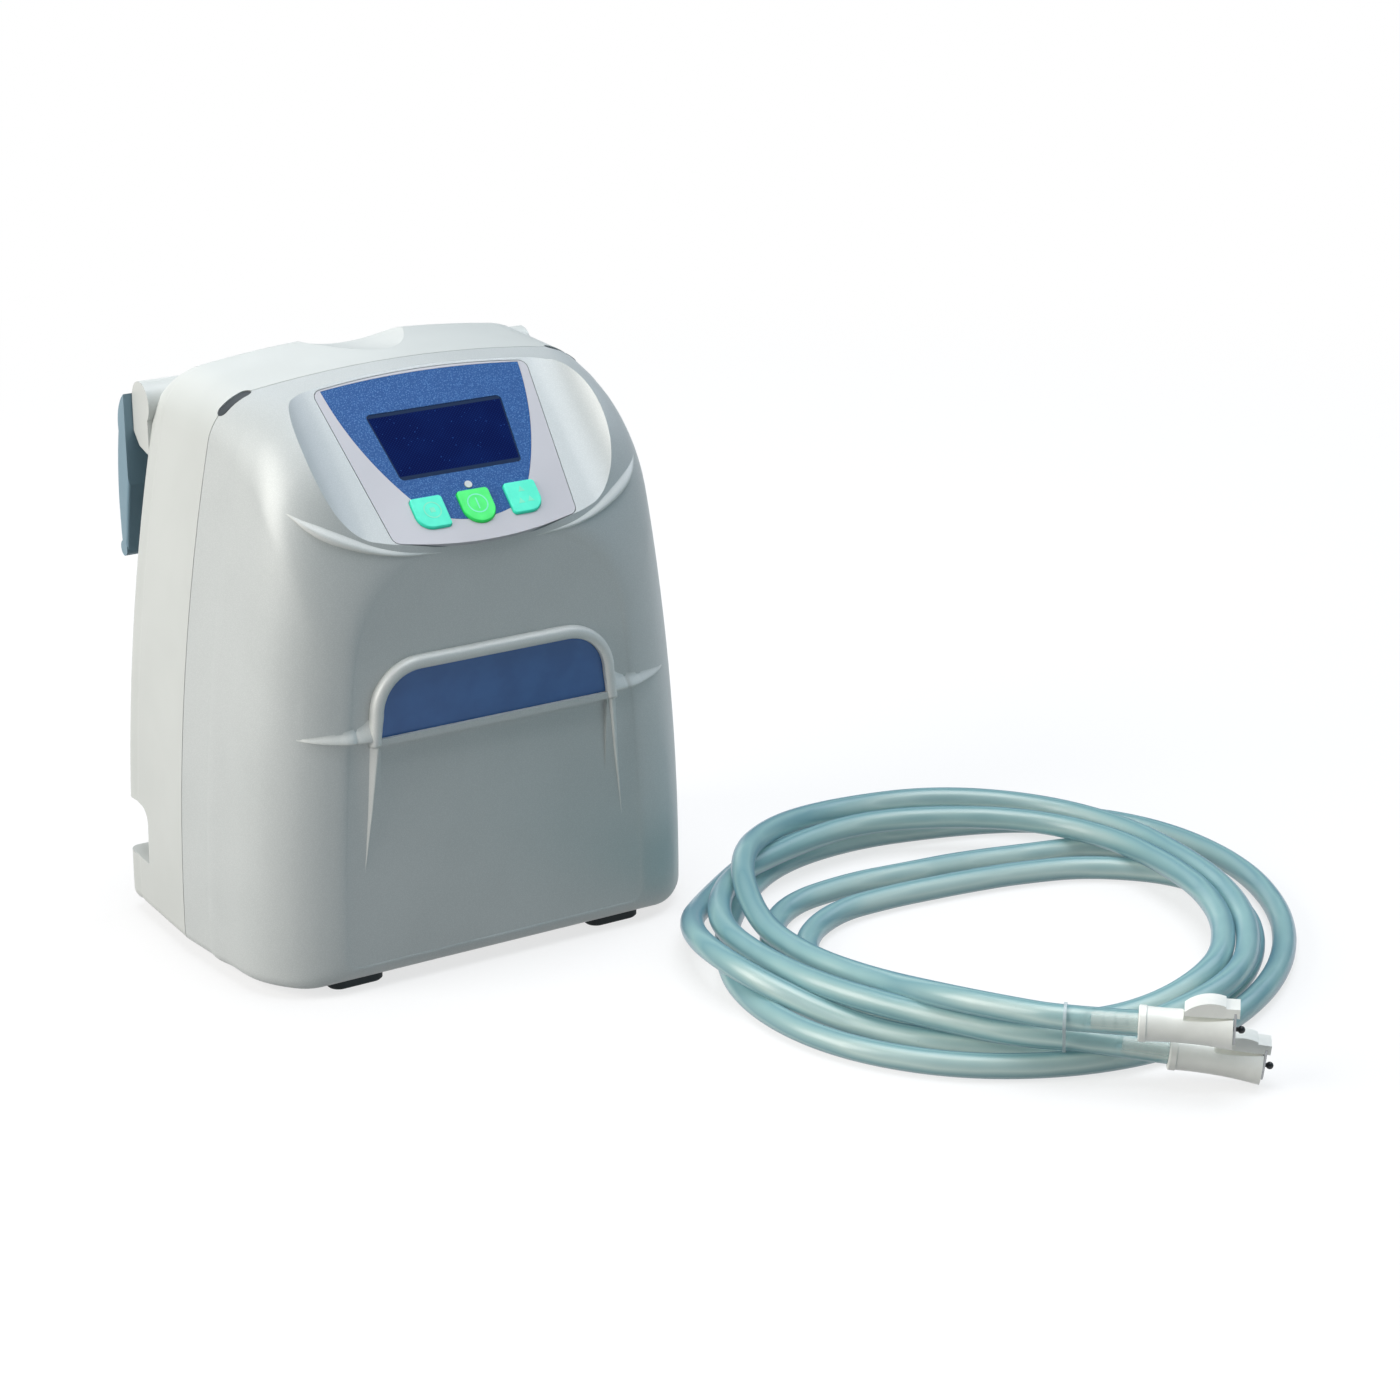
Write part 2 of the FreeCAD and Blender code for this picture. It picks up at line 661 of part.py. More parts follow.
def wing(side):
    """Raised shoulder beside the badge: fades out sideways along the wing and down along the field."""
    root = (side * BADGE_HALF, FRONT_Y - WING_PROUD, WING_Z - WING_PROUD)
    corner = (side * BADGE_HALF, FRONT_Y + WALL / 2, WING_Z + 1)
    inner = (side * BADGE_HALF, FRONT_Y + WALL / 2, FIELD_LOW_Z)
    tip = (side * WING_REACH, FRONT_Y + WING_BACK, WING_Z)
    foot = (side * FIELD_LOW_HALF, FRONT_Y, FIELD_LOW_Z)
    buried = (side * FIELD_LOW_HALF, FRONT_Y + WALL / 2, FIELD_LOW_Z - 1)
    faces = [
        polygon([root, tip, corner]),
        polygon([root, tip, foot]),
        polygon([root, foot, inner]),
        polygon([root, inner, corner]),
        polygon([foot, buried, inner]),
        polygon([tip, foot, buried]),
        polygon([tip, buried, inner]),
        polygon([tip, inner, corner]),
    ]
    solid = Part.makeSolid(Part.makeShell(faces))
    if solid.Volume < 0:
        solid.reverse()
    return solid


def screw_places():
    """Centres of the four housing screws, seen from the back."""
    return [(side * x, z) for side in (-1, 1) for x, z in (SCREW_LOW, SCREW_HIGH)]


def foot_places():
    """Centres of the four feet."""
    ys = (FRONT_Y + FOOT_FRONT, BACK_Y - FOOT_REAR)
    return {"foot_front_left": (-FOOT_X, ys[0]), "foot_front_right": (FOOT_X, ys[0]),
            "foot_rear_left": (-FOOT_X, ys[1]), "foot_rear_right": (FOOT_X, ys[1])}


def foot_holes(front):
    """Spigot holes through the base under one shell."""
    holes = []
    for name, (x, y) in foot_places().items():
        if ("front" in name) == front:
            holes.append(rod(FOOT_SPIGOT_R + FOOT_FIT, (x, y, 0), (x, y, FLOOR_GAP + 2 * WALL)))
    return holes


def lip_ring(outer, inner):
    """Ring just inside the seam between two insets, following the front shell's draft."""
    start = FRONT_DEPTH - LIP_DEPTH
    end = FRONT_DEPTH + SEAM_GAP + 1
    solid = Part.makeLoft([front_wire(start, outer), front_wire(end, outer)], True, True)
    hole = Part.makeLoft([front_wire(start - 1, inner), front_wire(end + 1, inner)], True, True)
    return solid.cut(hole)


def plug_tool(grow, sink):
    """Rounded slot across the seam at the shoulder, along the outline."""
    right = outline_points(HALF_WIDTH, FLOOR_GAP, HOUSING_TOP, SHOULDER_R, BASE_EDGE_R, 0.0)
    start, middle, end = right[4:7]
    centre = [middle[i] * PLUG_SHARE + end[i] * (1 - PLUG_SHARE) for i in (0, 1)]
    lean = math.degrees(math.atan2(end[1] - start[1], end[0] - start[0]))
    half = PLUG_LENGTH / 2 - PLUG_WIDTH / 2
    radius = PLUG_WIDTH / 2 + grow
    body = box((-half, -radius, -PLUG_DEPTH - grow), (half, radius, PLUG_OUT - sink))
    ends = [rod(radius, (s * half, 0, -PLUG_DEPTH - grow), (s * half, 0, PLUG_OUT - sink)) for s in (-1, 1)]
    slot = fuse(body, *ends)
    slot.Placement = Placement(Vector(centre[0], SEAM_Y, centre[1]), Rotation(Vector(0, 1, 0), -lean))
    return slot


def both_sides(shape):
    """The shape and its mirror image."""
    return [shape, shape.mirror(Vector(0, 0, 0), Vector(1, 0, 0))]


def make_front_shell():
    """Front shell: rolled loaf form, scooped panel seat, badge arch with wings, hollow inside."""
    outer = front_body()
    raised = arch_face(TRIM_WIDTH, FRONT_Y - TRIM_PROUD).extrude(Vector(0, TRIM_PROUD + WALL / 2, 0))
    outer = fuse(outer, raised, wing(1), wing(-1))
    outer = outer.cut(scoop_tool())
    keep = box((-HALF_WIDTH, FRONT_Y - 20, 0), (HALF_WIDTH, SEAM_Y - SEAM_GAP / 2, HOUSING_TOP + 10))
    inner = front_body(WALL, 2 * WALL).cut(scoop_tool(WALL + BEZEL_THICK))
    shell = outer.common(keep).cut(inner)
    bosses = []
    for x, z in screw_places():
        bosses.append(rod(BOSS_R, (x, SEAM_Y - SCREW_BITE - WALL, z), (x, SEAM_Y - SEAM_GAP / 2, z)))
        side = 1 if x > 0 else -1
        far = x + side * BOSS_RIB
        rib = box((min(x, far), SEAM_Y - SCREW_BITE, z - BOSS_RIB_HALF),
                  (max(x, far), SEAM_Y - LIP_DEPTH - 1, z + BOSS_RIB_HALF))
        bosses.append(rib)
    posts = [rod(STANDOFF_R, (x, FRONT_Y + WALL / 2, z), (x, FRONT_Y + WALL + BOARD_STANDOFF, z))
             for x, z in board_posts()]
    added = Part.makeCompound(bosses + posts).common(outer.common(keep))
    shell = fuse(shell, *added.Solids)
    cuts = [rod(SCREW_R + SCREW_FIT, (x, SEAM_Y - SCREW_BITE, z), (x, SEAM_Y + 1, z)) for x, z in screw_places()]
    cuts += [rod(BOARD_SCREW_R + 0.02, (x, FRONT_Y + WALL + 1, z), (x, FRONT_Y + WALL + BOARD_STANDOFF + 1, z))
             for x, z in board_posts()]
    cuts.append(lip_ring(LIP_INSET, WALL + 2.0))
    cuts.append(on_panel(bezel_block(-BEZEL_THICK, 12, BEZEL_GAP)))
    opening = box((-PANEL_OPENING_HALF, PANEL_OPENING_LOW, -14), (PANEL_OPENING_HALF, PANEL_OPENING_HIGH, 1))
    cuts.append(on_panel(opening))
    badge_seat = arch_face(0, FRONT_Y - TRIM_PROUD - 5)
    cuts.append(badge_seat.extrude(Vector(0, 5 + TRIM_PROUD - BADGE_PROUD + BADGE_THICK, 0)))
    cuts += both_sides(plug_tool(PLUG_FIT, -PLUG_OVER))
    cuts += foot_holes(True)
    return cut_all(shell, cuts)


def cut_all(shape, tools):
    """Cut the tools away one after another."""
    for tool in tools:
        shape = shape.cut(tool)
    return shape


def board_posts():
    """Posts that carry the main board behind the front face."""
    half = MAIN_BOARD[0] / 2 - 6
    low = MAIN_BOARD_Z + 6
    high = MAIN_BOARD_Z + MAIN_BOARD[1] - 6
    return [(side * half, z) for side in (-1, 1) for z in (low, high)]


# ================================================================ rear shell
def bay_tool(grow=0.0):
    """Service bay across the back: square floor edge, round upper inner corner."""
    low = BAY_LOW_Z - grow
    high = BAY_HIGH_Z + grow
    deep = BAY_Y - grow
    out = BACK_Y + 20
    radius = BAY_CORNER_R + grow
    wide = HALF_WIDTH + 5
    slant = radius * (1 - math.sin(math.pi / 4))
    points = [(-wide, deep, high - radius), (-wide, deep + slant, high - slant), (-wide, deep + radius, high)]
    edges = [
        line((-wide, out, low), (-wide, deep, low)),
        line((-wide, deep, low), points[0]),
        arc(*points),
        line(points[2], (-wide, out, high)),
        line((-wide, out, high), (-wide, out, low)),
    ]
    return Part.Face(Part.Wire(edges)).extrude(Vector(2 * wide, 0, 0))


def knuckle(side):
    """Hinge knuckle on the back: a round head over a block with a slanted lower corner."""
    back = HINGE_Y + KNUCKLE_R
    start = side * KNUCKLE_IN
    head = rod(KNUCKLE_R, (start, HINGE_Y, HINGE_Z), (side * KNUCKLE_OUT, HINGE_Y, HINGE_Z))
    root_y = BACK_Y - WALL
    profile = polygon([
        (start, root_y, HINGE_Z + KNUCKLE_R * 0.6),
        (start, HINGE_Y, HINGE_Z),
        (start, back, HINGE_Z),
        (start, back, KNUCKLE_LOW_Z + KNUCKLE_CUT),
        (start, back - KNUCKLE_CUT, KNUCKLE_LOW_Z),
        (start, root_y, KNUCKLE_LOW_Z - 2),
    ])
    block = profile.extrude(Vector(side * (KNUCKLE_OUT - KNUCKLE_IN), 0, 0))
    return fuse(head, block)


def hub_seat(side):
    """Local thickening inside the back wall behind one hinge pocket."""
    xs = sorted((side * (HUB_IN - WALL), side * (KNUCKLE_IN + WALL)))
    reach = HUB_R + HUB_POCKET + WALL
    return box((xs[0], HINGE_Y - reach, HINGE_Z - reach), (xs[1], BACK_Y - WALL / 2, HINGE_Z + reach))


def hub_pocket(side):
    """Round pocket in the back wall that clears the hook's hub."""
    radius = HUB_R + HUB_POCKET
    ends = (side * (HUB_IN - HUB_POCKET), side * KNUCKLE_IN)
    return rod(radius, (ends[0], HINGE_Y, HINGE_Z), (ends[1], HINGE_Y, HINGE_Z))


def notch_tool(lower=0.0):
    """Shallow finger scoop in the middle of the rear top edge, running out towards the front."""
    lean = math.degrees(math.atan2(NOTCH_DEPTH, NOTCH_LENGTH))
    tool = Part.makeCylinder(NOTCH_R, 2 * NOTCH_LENGTH, Vector(0, 0, 0), Vector(0, 1, 0))
    tool.Placement = Placement(Vector(0, BACK_Y - NOTCH_LENGTH, HOUSING_TOP + NOTCH_R - lower),
                               Rotation(Vector(1, 0, 0), -lean))
    return tool


def bay_holes():
    """Holes in the bay wall for the two outlet ports and the mains inlet."""
    deep = BAY_Y - WALL - 2
    holes = [rod(PORT_R + PORT_FIT, (x, deep, port_z()), (x, BAY_Y + 1, port_z())) for x in port_xs()]
    half_w = INLET_SIZE[0] / 2 + PORT_FIT
    half_h = INLET_SIZE[1] / 2 + PORT_FIT
    holes.append(box((INLET_X - half_w, deep, port_z() - half_h), (INLET_X + half_w, BAY_Y + 1, port_z() + half_h)))
    return holes


def port_xs():
    """Places of the outlet ports across the back."""
    return (PORT_X, PORT_X + PORT_SPACING)


def port_z():
    """Height of everything that plugs in at the back."""
    return BAY_LOW_Z + PORT_FLANGE_R + 0.1


def make_rear_shell():
    """Rear shell: straight sides, rolled back edge, knuckles, service bay, finger notch."""
    outer = rear_body(0.0, 1.0)
    keep = box((-HALF_WIDTH - 1, SEAM_Y + SEAM_GAP / 2, 0), (HALF_WIDTH + 1, BACK_Y + 20, HOUSING_TOP + 10))
    knuckles = [knuckle(side) for side in (-1, 1)]
    outer = fuse(outer.common(keep), *knuckles)
    outer = outer.cut(bay_tool()).cut(notch_tool())
    inner = rear_body(WALL, 2 * WALL).cut(bay_tool(WALL)).cut(notch_tool(WALL))
    shell = outer.cut(inner)
    body = rear_body(WALL / 2, 2 * WALL).common(keep)
    tubes = [rod(BOSS_R, (x, SEAM_Y + SEAM_GAP / 2, z), (x, BACK_Y - WALL / 2, z)) for x, z in screw_places()]
    inside = [hub_seat(side) for side in (-1, 1)] + tubes
    inside += battery_tray() + supply_posts() + pump_rails() + manifold_shelf()
    added = Part.makeCompound(inside).common(body)
    shell = fuse(shell, *added.Solids)
    tongue = lip_ring(LIP_INSET + LIP_FIT, WALL + LIP_BEAD)
    shell = fuse(shell, tongue)
    cuts = []
    for x, z in screw_places():
        cuts.append(rod(SCREW_R + SCREW_FIT, (x, SEAM_Y - 1, z), (x, BACK_Y + 1, z)))
        cuts.append(rod(SCREW_HEAD_R + 0.3, (x, BACK_Y - SCREW_SINK, z), (x, BACK_Y + 1, z)))
    for side in (-1, 1):
        cuts.append(hub_pocket(side))
        cuts.append(rod(PIN_R + PIN_FIT, (side * (HUB_IN + 1), HINGE_Y, HINGE_Z), (side * PIN_OUT, HINGE_Y, HINGE_Z)))
    cuts += bay_holes()
    cuts += both_sides(plug_tool(PLUG_FIT, -PLUG_OVER))
    cuts += foot_holes(False)
    return cut_all(shell, cuts)


def battery_place():
    """Low corner of the battery pack: in the left half, against the back wall."""
    return (-HALF_WIDTH + 16, BACK_Y - WALL - 1.5 - BATTERY[1], BATTERY_Z)


def battery_tray():
    """Shelf and stops moulded inside the rear shell for the battery pack."""
    x, y, z = battery_place()
    shelf = box((x - 3, y - 2, z - 3.3), (x + BATTERY[0] + 3, BACK_Y, z - 0.3))
    stop = box((x - 3, y - 4, z - 3.3), (x + BATTERY[0] + 3, y - 2, z + 8))
    pad = box((x + 10, y + BATTERY[1] + 0.3, z + 4), (x + BATTERY[0] - 10, BACK_Y, z + BATTERY[2] - 8))
    return [shelf, stop, pad]


def supply_place():
    """Low corner of the power supply board: in the right half."""
    return (HALF_WIDTH - 18 - SUPPLY[0], BACK_Y - WALL - 6 - SUPPLY[1], BAY_HIGH_Z + WALL + 8)


def supply_posts():
    """Posts on the back wall for the power supply board."""
    x, y, z = supply_place()
    places = [(x + dx, z + dz) for dx in (6, SUPPLY[0] - 6) for dz in (6, SUPPLY[2] - 6)]
    return [rod(STANDOFF_R, (px, y + SUPPLY[1] + 0.1, pz), (px, BACK_Y, pz)) for px, pz in places]


def pump_rails():
    """Two rails on the back wall that the compressor bracket hangs on."""
    return [box((side * RAIL_X - RAIL_HALF, bracket_back(), PUMP_Z - RAIL_BELOW),
                (side * RAIL_X + RAIL_HALF, BACK_Y, PUMP_Z + RAIL_ABOVE)) for side in (-1, 1)]


def bracket_back():
    """Back face of the compressor bracket."""
    return BACK_Y - PUMP_AHEAD + MOTOR_R + BRACKET_THICK


# ================================================================ control panel parts
def make_bezel():
    """White panel plate that carries window, keys and overlay."""
    plate = bezel_block(-BEZEL_THICK, 0.0)
    plate = plate.cut(overlay_block(-OVERLAY_THICK, 1.0))
    plate = plate.cut(window_block(-BEZEL_THICK - 1, 1.0))
    for x in KEY_NAMES.values():
        plate = plate.cut(key_block(x, -BEZEL_THICK - 1, 1.0, KEY_FIT))
    plate = plate.cut(rod(LED_R + 0.1, (0, LED_ALONG, -BEZEL_THICK - 1), (0, LED_ALONG, 1)))
    return on_panel(plate)


def make_overlay():
    """Thin printed overlay in its recess, open over window, keys and lamp."""
    film = overlay_block(-OVERLAY_THICK, 0.0, OVERLAY_GAP)
    film = film.cut(window_block(-2, 2.0))
    for x in KEY_NAMES.values():
        film = film.cut(key_block(x, -2, 2.0, KEY_FIT))
    film = film.cut(rod(LED_R + 0.1, (0, LED_ALONG, -2), (0, LED_ALONG, 2)))
    return on_panel(film)


def make_window():
    """Clear display window set in the panel."""
    top = -LENS_SINK
    return on_panel(window_block(top - LENS_THICK, top, LENS_GAP))


def lcd_back():
    """Height of the display module's front face off the slope."""
    return -LENS_SINK - LENS_THICK - 0.1


def make_lcd_module():
    """Display module behind the window: glass carrier on a stepped frame with mounting ears."""
    width, height, depth = LCD_MODULE
    middle = (LCD_LOW + LCD_HIGH) / 2
    front = -BEZEL_THICK - 0.05
    frame = box((-width / 2, middle - height / 2, front - depth), (width / 2, middle + height / 2, front))
    raised = window_block(front - 0.5, lcd_back(), LENS_GAP + 0.6)
    board = box((-width / 2, middle - height / 2 + 2, front - depth - 2.4),
                (width / 2, middle + height / 2 - 2, front - depth))
    return on_panel(fuse(frame, raised, board))


def make_key(x):
    """Key cap with a flange that keeps it behind the panel."""
    cap = key_block(x, -KEY_DEPTH, KEY_PROUD)
    rim = [edge for edge in cap.Edges if edge.CenterOfMass.z > KEY_PROUD - 0.01]
    cap = cap.makeFillet(0.5, rim)
    flange = key_block(x, -BEZEL_THICK - 0.3 - 1.0, -BEZEL_THICK - 0.3, KEY_FLANGE)
    return on_panel(fuse(cap, flange))


def keypad_top():
    """Height of the key board's face off the slope."""
    return -KEY_DEPTH - KEY_TRAVEL - SWITCH_CLEAR - 2.0


def make_keypad_board():
    """Board behind the keys with one dome switch under each, hung from the panel on two legs."""
    width, height, thick = KEYPAD_BOARD
    low = PANEL_OPENING_LOW + 0.6
    top = keypad_top()
    board = box((-width / 2, low, top - thick), (width / 2, low + height, top))
    domes = [rod(SWITCH_R, (x, low + 9, top - 0.5), (x, low + 9, top + 2.0)) for x in KEY_NAMES.values()]
    legs = [box((side * width / 2 - (4 if side > 0 else 0), low + 4, top - 0.5),
                (side * width / 2 + (0 if side > 0 else 4), low + 14, -BEZEL_THICK - 0.05)) for side in (-1, 1)]
    stem = rod(LED_R - 0.3, (0, LED_ALONG, top - 0.5), (0, LED_ALONG, -BEZEL_THICK - 0.4))
    return on_panel(fuse(board, *domes, *legs, stem))


def make_status_lens():
    """Small round lens of the status lamp."""
    lens = rod(LED_R, (0, LED_ALONG, -BEZEL_THICK), (0, LED_ALONG, 0.35))
    return on_panel(lens)


def make_badge():
    """Curved-top plate in the arch, bare."""
    front = FRONT_Y - BADGE_PROUD
    plate = arch_face(-BADGE_GAP, front).extrude(Vector(0, BADGE_THICK, 0))
    return plate


def make_seam_plug(side):
    """Soft plug that fills the slot across the seam, just below the skin."""
    wire = outline_wire(SEAM_Y - PLUG_WIDTH, HALF_WIDTH, FLOOR_GAP, HOUSING_TOP, SHOULDER_R - PLUG_SINK,
                        BASE_EDGE_R, PLUG_SINK)
    skin = Part.Face(wire).extrude(Vector(0, 2 * PLUG_WIDTH, 0))
    skin.translate(Vector(0, 0, -PLUG_SINK))
    plug = plug_tool(0.0, 0.0).common(skin).Solids[0]
    return both_sides(plug)[0 if side > 0 else 1]


# ================================================================ bed hook
def hook_point(x, back, up):
    """Point of the hook's profile, measured from the hinge axis."""
    return (x, HINGE_Y + back, HINGE_Z + up)


def hook_plate():
    """Bowed hook plate: thick at the hinge, drawn out to a round tip."""
    x = -HOOK_HALF
    bow = KNUCKLE_R + HOOK_CLEAR + HOOK_BACK_BOW
    low = HOOK_LOW_Z - HINGE_Z
    top_front = hook_point(x, -1.0, HOOK_TOP_RISE)
    top_back = hook_point(x, KNUCKLE_R - 0.4, HOOK_TOP_RISE)
    nape = hook_point(x, bow - 4.3, -12.0)
    heel = hook_point(x, bow - 0.8, low + 5.5)
    toe = hook_point(x, bow - 5.9, low + 3.0)
    front = hook_point(x, -0.6, -6.5)
    edges = [
        arc(front, hook_point(x, 8.9, -35.5), toe),
        arc(toe, hook_point(x, bow - 3.6, low), heel),
        arc(heel, hook_point(x, bow - 0.0, -42.0), nape),
        arc(nape, hook_point(x, bow - 7.2, -2.4), top_back),
        line(top_back, top_front),
        line(top_front, front),
    ]
    plate = Part.Face(Part.Wire(edges)).extrude(Vector(2 * HOOK_HALF, 0, 0))
    long_edges = [edge for edge in plate.Edges if edge.BoundBox.XLength < 0.01 and edge.BoundBox.ZLength > 40]
    return plate.makeFillet(HOOK_EDGE_R, long_edges)


def make_bed_hook():
    """Fold-out hook that hangs the pump on a bed's foot board."""
    hook = hook_plate()
    hubs = [rod(HUB_R, (side * HUB_IN, HINGE_Y, HINGE_Z), (side * (KNUCKLE_IN - HUB_SIDE_GAP), HINGE_Y, HINGE_Z))
            for side in (-1, 1)]
    hook = fuse(hook, *hubs)
    clear = KNUCKLE_R + HOOK_CLEAR
    for side in (-1, 1):
        xs = sorted((side * (KNUCKLE_IN - HUB_SIDE_GAP), side * (HOOK_HALF + 1)))
        wrap = fuse(rod(clear, (xs[0], HINGE_Y, HINGE_Z), (xs[1], HINGE_Y, HINGE_Z)),
                    box((xs[0], HINGE_Y - clear, HOOK_LOW_Z), (xs[1], HINGE_Y + clear, HINGE_Z)))
        hook = hook.cut(wrap)
        hook = hook.cut(rod(PIN_R + PIN_FIT, (side * (PIN_IN - 1), HINGE_Y, HINGE_Z),
                            (side * KNUCKLE_IN, HINGE_Y, HINGE_Z)))
    return hook


def make_hook_pin(side):
    """Steel pin through knuckle and hub."""
    return rod(PIN_R, (side * PIN_IN, HINGE_Y, HINGE_Z), (side * PIN_OUT, HINGE_Y, HINGE_Z))


# ================================================================ feet, screws, ports, inlet
def make_foot(name):
    """Rounded rubber foot with a spigot in the base."""
    x, y = foot_places()[name]
    pad = rounded_plate(FOOT_LENGTH / 2, FOOT_DEPTH / 2, FOOT_CORNER_R, 0.0, FLOOR_GAP - FOOT_SEAT, (x, y))
    rim = [edge for edge in pad.Edges if edge.BoundBox.ZMax < 0.01]
    pad = pad.makeChamfer(0.6, rim)
    return fuse(pad, rod(FOOT_SPIGOT_R, (x, y, FLOOR_GAP - 1), (x, y, FLOOR_GAP + WALL + 1)))


def make_housing_screws():
    """Four long screws that hold the two shells together."""
    head_y = BACK_Y - SCREW_SINK
    screws = []
    for x, z in screw_places():
        shank = rod(SCREW_R, (x, SEAM_Y - SCREW_BITE + 1, z), (x, head_y + 0.5, z))
        head = rod(SCREW_HEAD_R, (x, head_y, z), (x, head_y + SCREW_HEAD, z))
        slot = box((x - SCREW_HEAD_R, head_y + SCREW_HEAD - 1, z - 0.5), (x + SCREW_HEAD_R, head_y + SCREW_HEAD, z + 0.5))
        cross = box((x - 0.5, head_y + SCREW_HEAD - 1, z - SCREW_R), (x + 0.5, head_y + SCREW_HEAD, z + SCREW_R))
        slot = slot.common(rod(SCREW_R, (x, head_y, z), (x, head_y + SCREW_HEAD, z)))
        screws.append(fuse(shank, head).cut(slot).cut(cross))
    return screws


def barb(radius, start_y, length, x, z, count):
    """Run of saw-tooth barbs along -Y from start_y."""
    pitch = length / count
    rings = [Part.makeCone(radius, radius * 0.78, pitch, Vector(x, start_y - k * pitch, z), Vector(0, -1, 0))
             for k in range(count)]
    return fuse(rings[0], *rings[1:])


def make_outlet_port(x):
    """Outlet port: flanged bush in the bay wall with a smooth bore and a barbed tail inside."""
    z = port_z()
    body = rod(PORT_R, (x, BAY_Y - PORT_BODY, z), (x, BAY_Y + PORT_FLANGE, z))
    flange = rod(PORT_FLANGE_R, (x, BAY_Y, z), (x, BAY_Y + PORT_FLANGE, z))
    nut = rod(PORT_FLANGE_R, (x, BAY_Y - WALL - PORT_NUT, z), (x, BAY_Y - WALL, z))
    tail = barb(PORT_BARB_R, BAY_Y - PORT_BODY, PORT_LENGTH - PORT_BODY, x, z, BARB_COUNT)
    port = fuse(body, flange, nut, tail)
    mouth = BAY_Y + PORT_FLANGE
    port = port.cut(rod(PORT_BORE_R, (x, mouth - PORT_BORE_DEPTH, z), (x, mouth + 1, z)))
    return port.cut(rod(PORT_AIR_R, (x, BAY_Y - PORT_LENGTH - 1, z), (x, BAY_Y, z)))


def make_mains_inlet():
    """Moulded two-pole mains inlet with a rounded recess."""
    half_w, half_h = INLET_SIZE[0] / 2, INLET_SIZE[1] / 2
    z = port_z()
    body = box((INLET_X - half_w, BAY_Y - INLET_LENGTH, z - half_h), (INLET_X + half_w, BAY_Y, z + half_h))
    flange = box((INLET_X - half_w - INLET_LIP, BAY_Y, z - half_h - INLET_LIP),
                 (INLET_X + half_w + INLET_LIP, BAY_Y + INLET_FLANGE, z + half_h + INLET_LIP))
    inlet = fuse(body, flange)
    corner = half_h - INLET_WALL
    span = half_w - INLET_WALL - corner
    floor_y = BAY_Y + INLET_FLANGE - INLET_SOCKET_DEPTH
    recess = fuse(box((INLET_X - span, floor_y, z - corner), (INLET_X + span, BAY_Y + 5, z + corner)),
                  *[rod(corner, (INLET_X + s * span, floor_y, z), (INLET_X + s * span, BAY_Y + 5, z)) for s in (-1, 1)])
    inlet = inlet.cut(recess)
    for x in inlet_pin_xs():
        inlet = inlet.cut(rod(INLET_PIN_R, (x, BAY_Y - INLET_LENGTH - 1, z), (x, floor_y + 1, z)))
    return inlet


def inlet_pin_xs():
    """Places of the two inlet pins."""
    return [INLET_X + side * INLET_PIN_PITCH / 2 for side in (-1, 1)]


def make_inlet_pins():
    """Two contact pins that run through the inlet's floor."""
    tip = BAY_Y + INLET_FLANGE - INLET_SOCKET_DEPTH + INLET_PIN_LENGTH
    back = BAY_Y - INLET_LENGTH - 4
    return [rod(INLET_PIN_R, (x, back, port_z()), (x, tip, port_z())) for x in inlet_pin_xs()]


# ================================================================ inside
def board_front():
    """Front face of the main board, on its posts."""
    return FRONT_Y + WALL + BOARD_STANDOFF


def make_main_board():
    """Main board on the front posts with its larger components."""
    y = board_front()
    half = MAIN_BOARD[0] / 2
    board = box((-half, y, MAIN_BOARD_Z), (half, y + BOARD_THICK, MAIN_BOARD_Z + MAIN_BOARD[1]))
    for x, z in board_posts():
        board = board.cut(rod(BOARD_SCREW_R + 0.1, (x, y - 1, z), (x, y + 3, z)))
    top = y + BOARD_THICK - 0.01
    chips = [box((x - w / 2, top, z - h / 2), (x + w / 2, top + d, z + h / 2)) for x, z, w, h, d in BOARD_PARTS]
    cans = [rod(CAPACITOR_R, (x, top, MAIN_BOARD_Z + up), (x, top + CAPACITOR_HEIGHT, MAIN_BOARD_Z + up))
            for x, up in CAPACITORS]
    return fuse(board, *(chips + cans))


def make_board_screws():
    """Four small screws that hold the main board on its posts."""
    y = board_front() + BOARD_THICK
    screws = []
    for x, z in board_posts():
        head = rod(BOARD_SCREW_HEAD_R, (x, y, z), (x, y + BOARD_SCREW_HEAD, z))
        screws.append(fuse(head, rod(BOARD_SCREW_R, (x, y - BOARD_THICK - 6, z), (x, y + 0.5, z))))
    return screws


def make_buzzer():
    """Round buzzer on the main board."""
    y = board_front() + BOARD_THICK
    can = rod(BUZZER_R, (BUZZER_X, y, BUZZER_Z), (BUZZER_X, y + BUZZER_THICK, BUZZER_Z))
    return can.cut(rod(1.2, (BUZZER_X, y + 2, BUZZER_Z), (BUZZER_X, y + BUZZER_THICK + 1, BUZZER_Z)))


def make_battery():
    """Battery pack: five rounded cells in a wrap, standing on its tray."""
    x, y, z = battery_place()
    pack = box((x, y, z), (x + BATTERY[0], y + BATTERY[1], z + BATTERY[2]))
    upright = [edge for edge in pack.Edges if abs(edge.tangentAt(edge.FirstParameter).z) > 0.99]
    pack = pack.makeFillet(BATTERY_R, upright)
    lead = box((x + BATTERY[0] - 14, y + 6, z + BATTERY[2] - 0.1), (x + BATTERY[0] - 4, y + 14, z + BATTERY[2] + 3))
    return fuse(pack, lead)


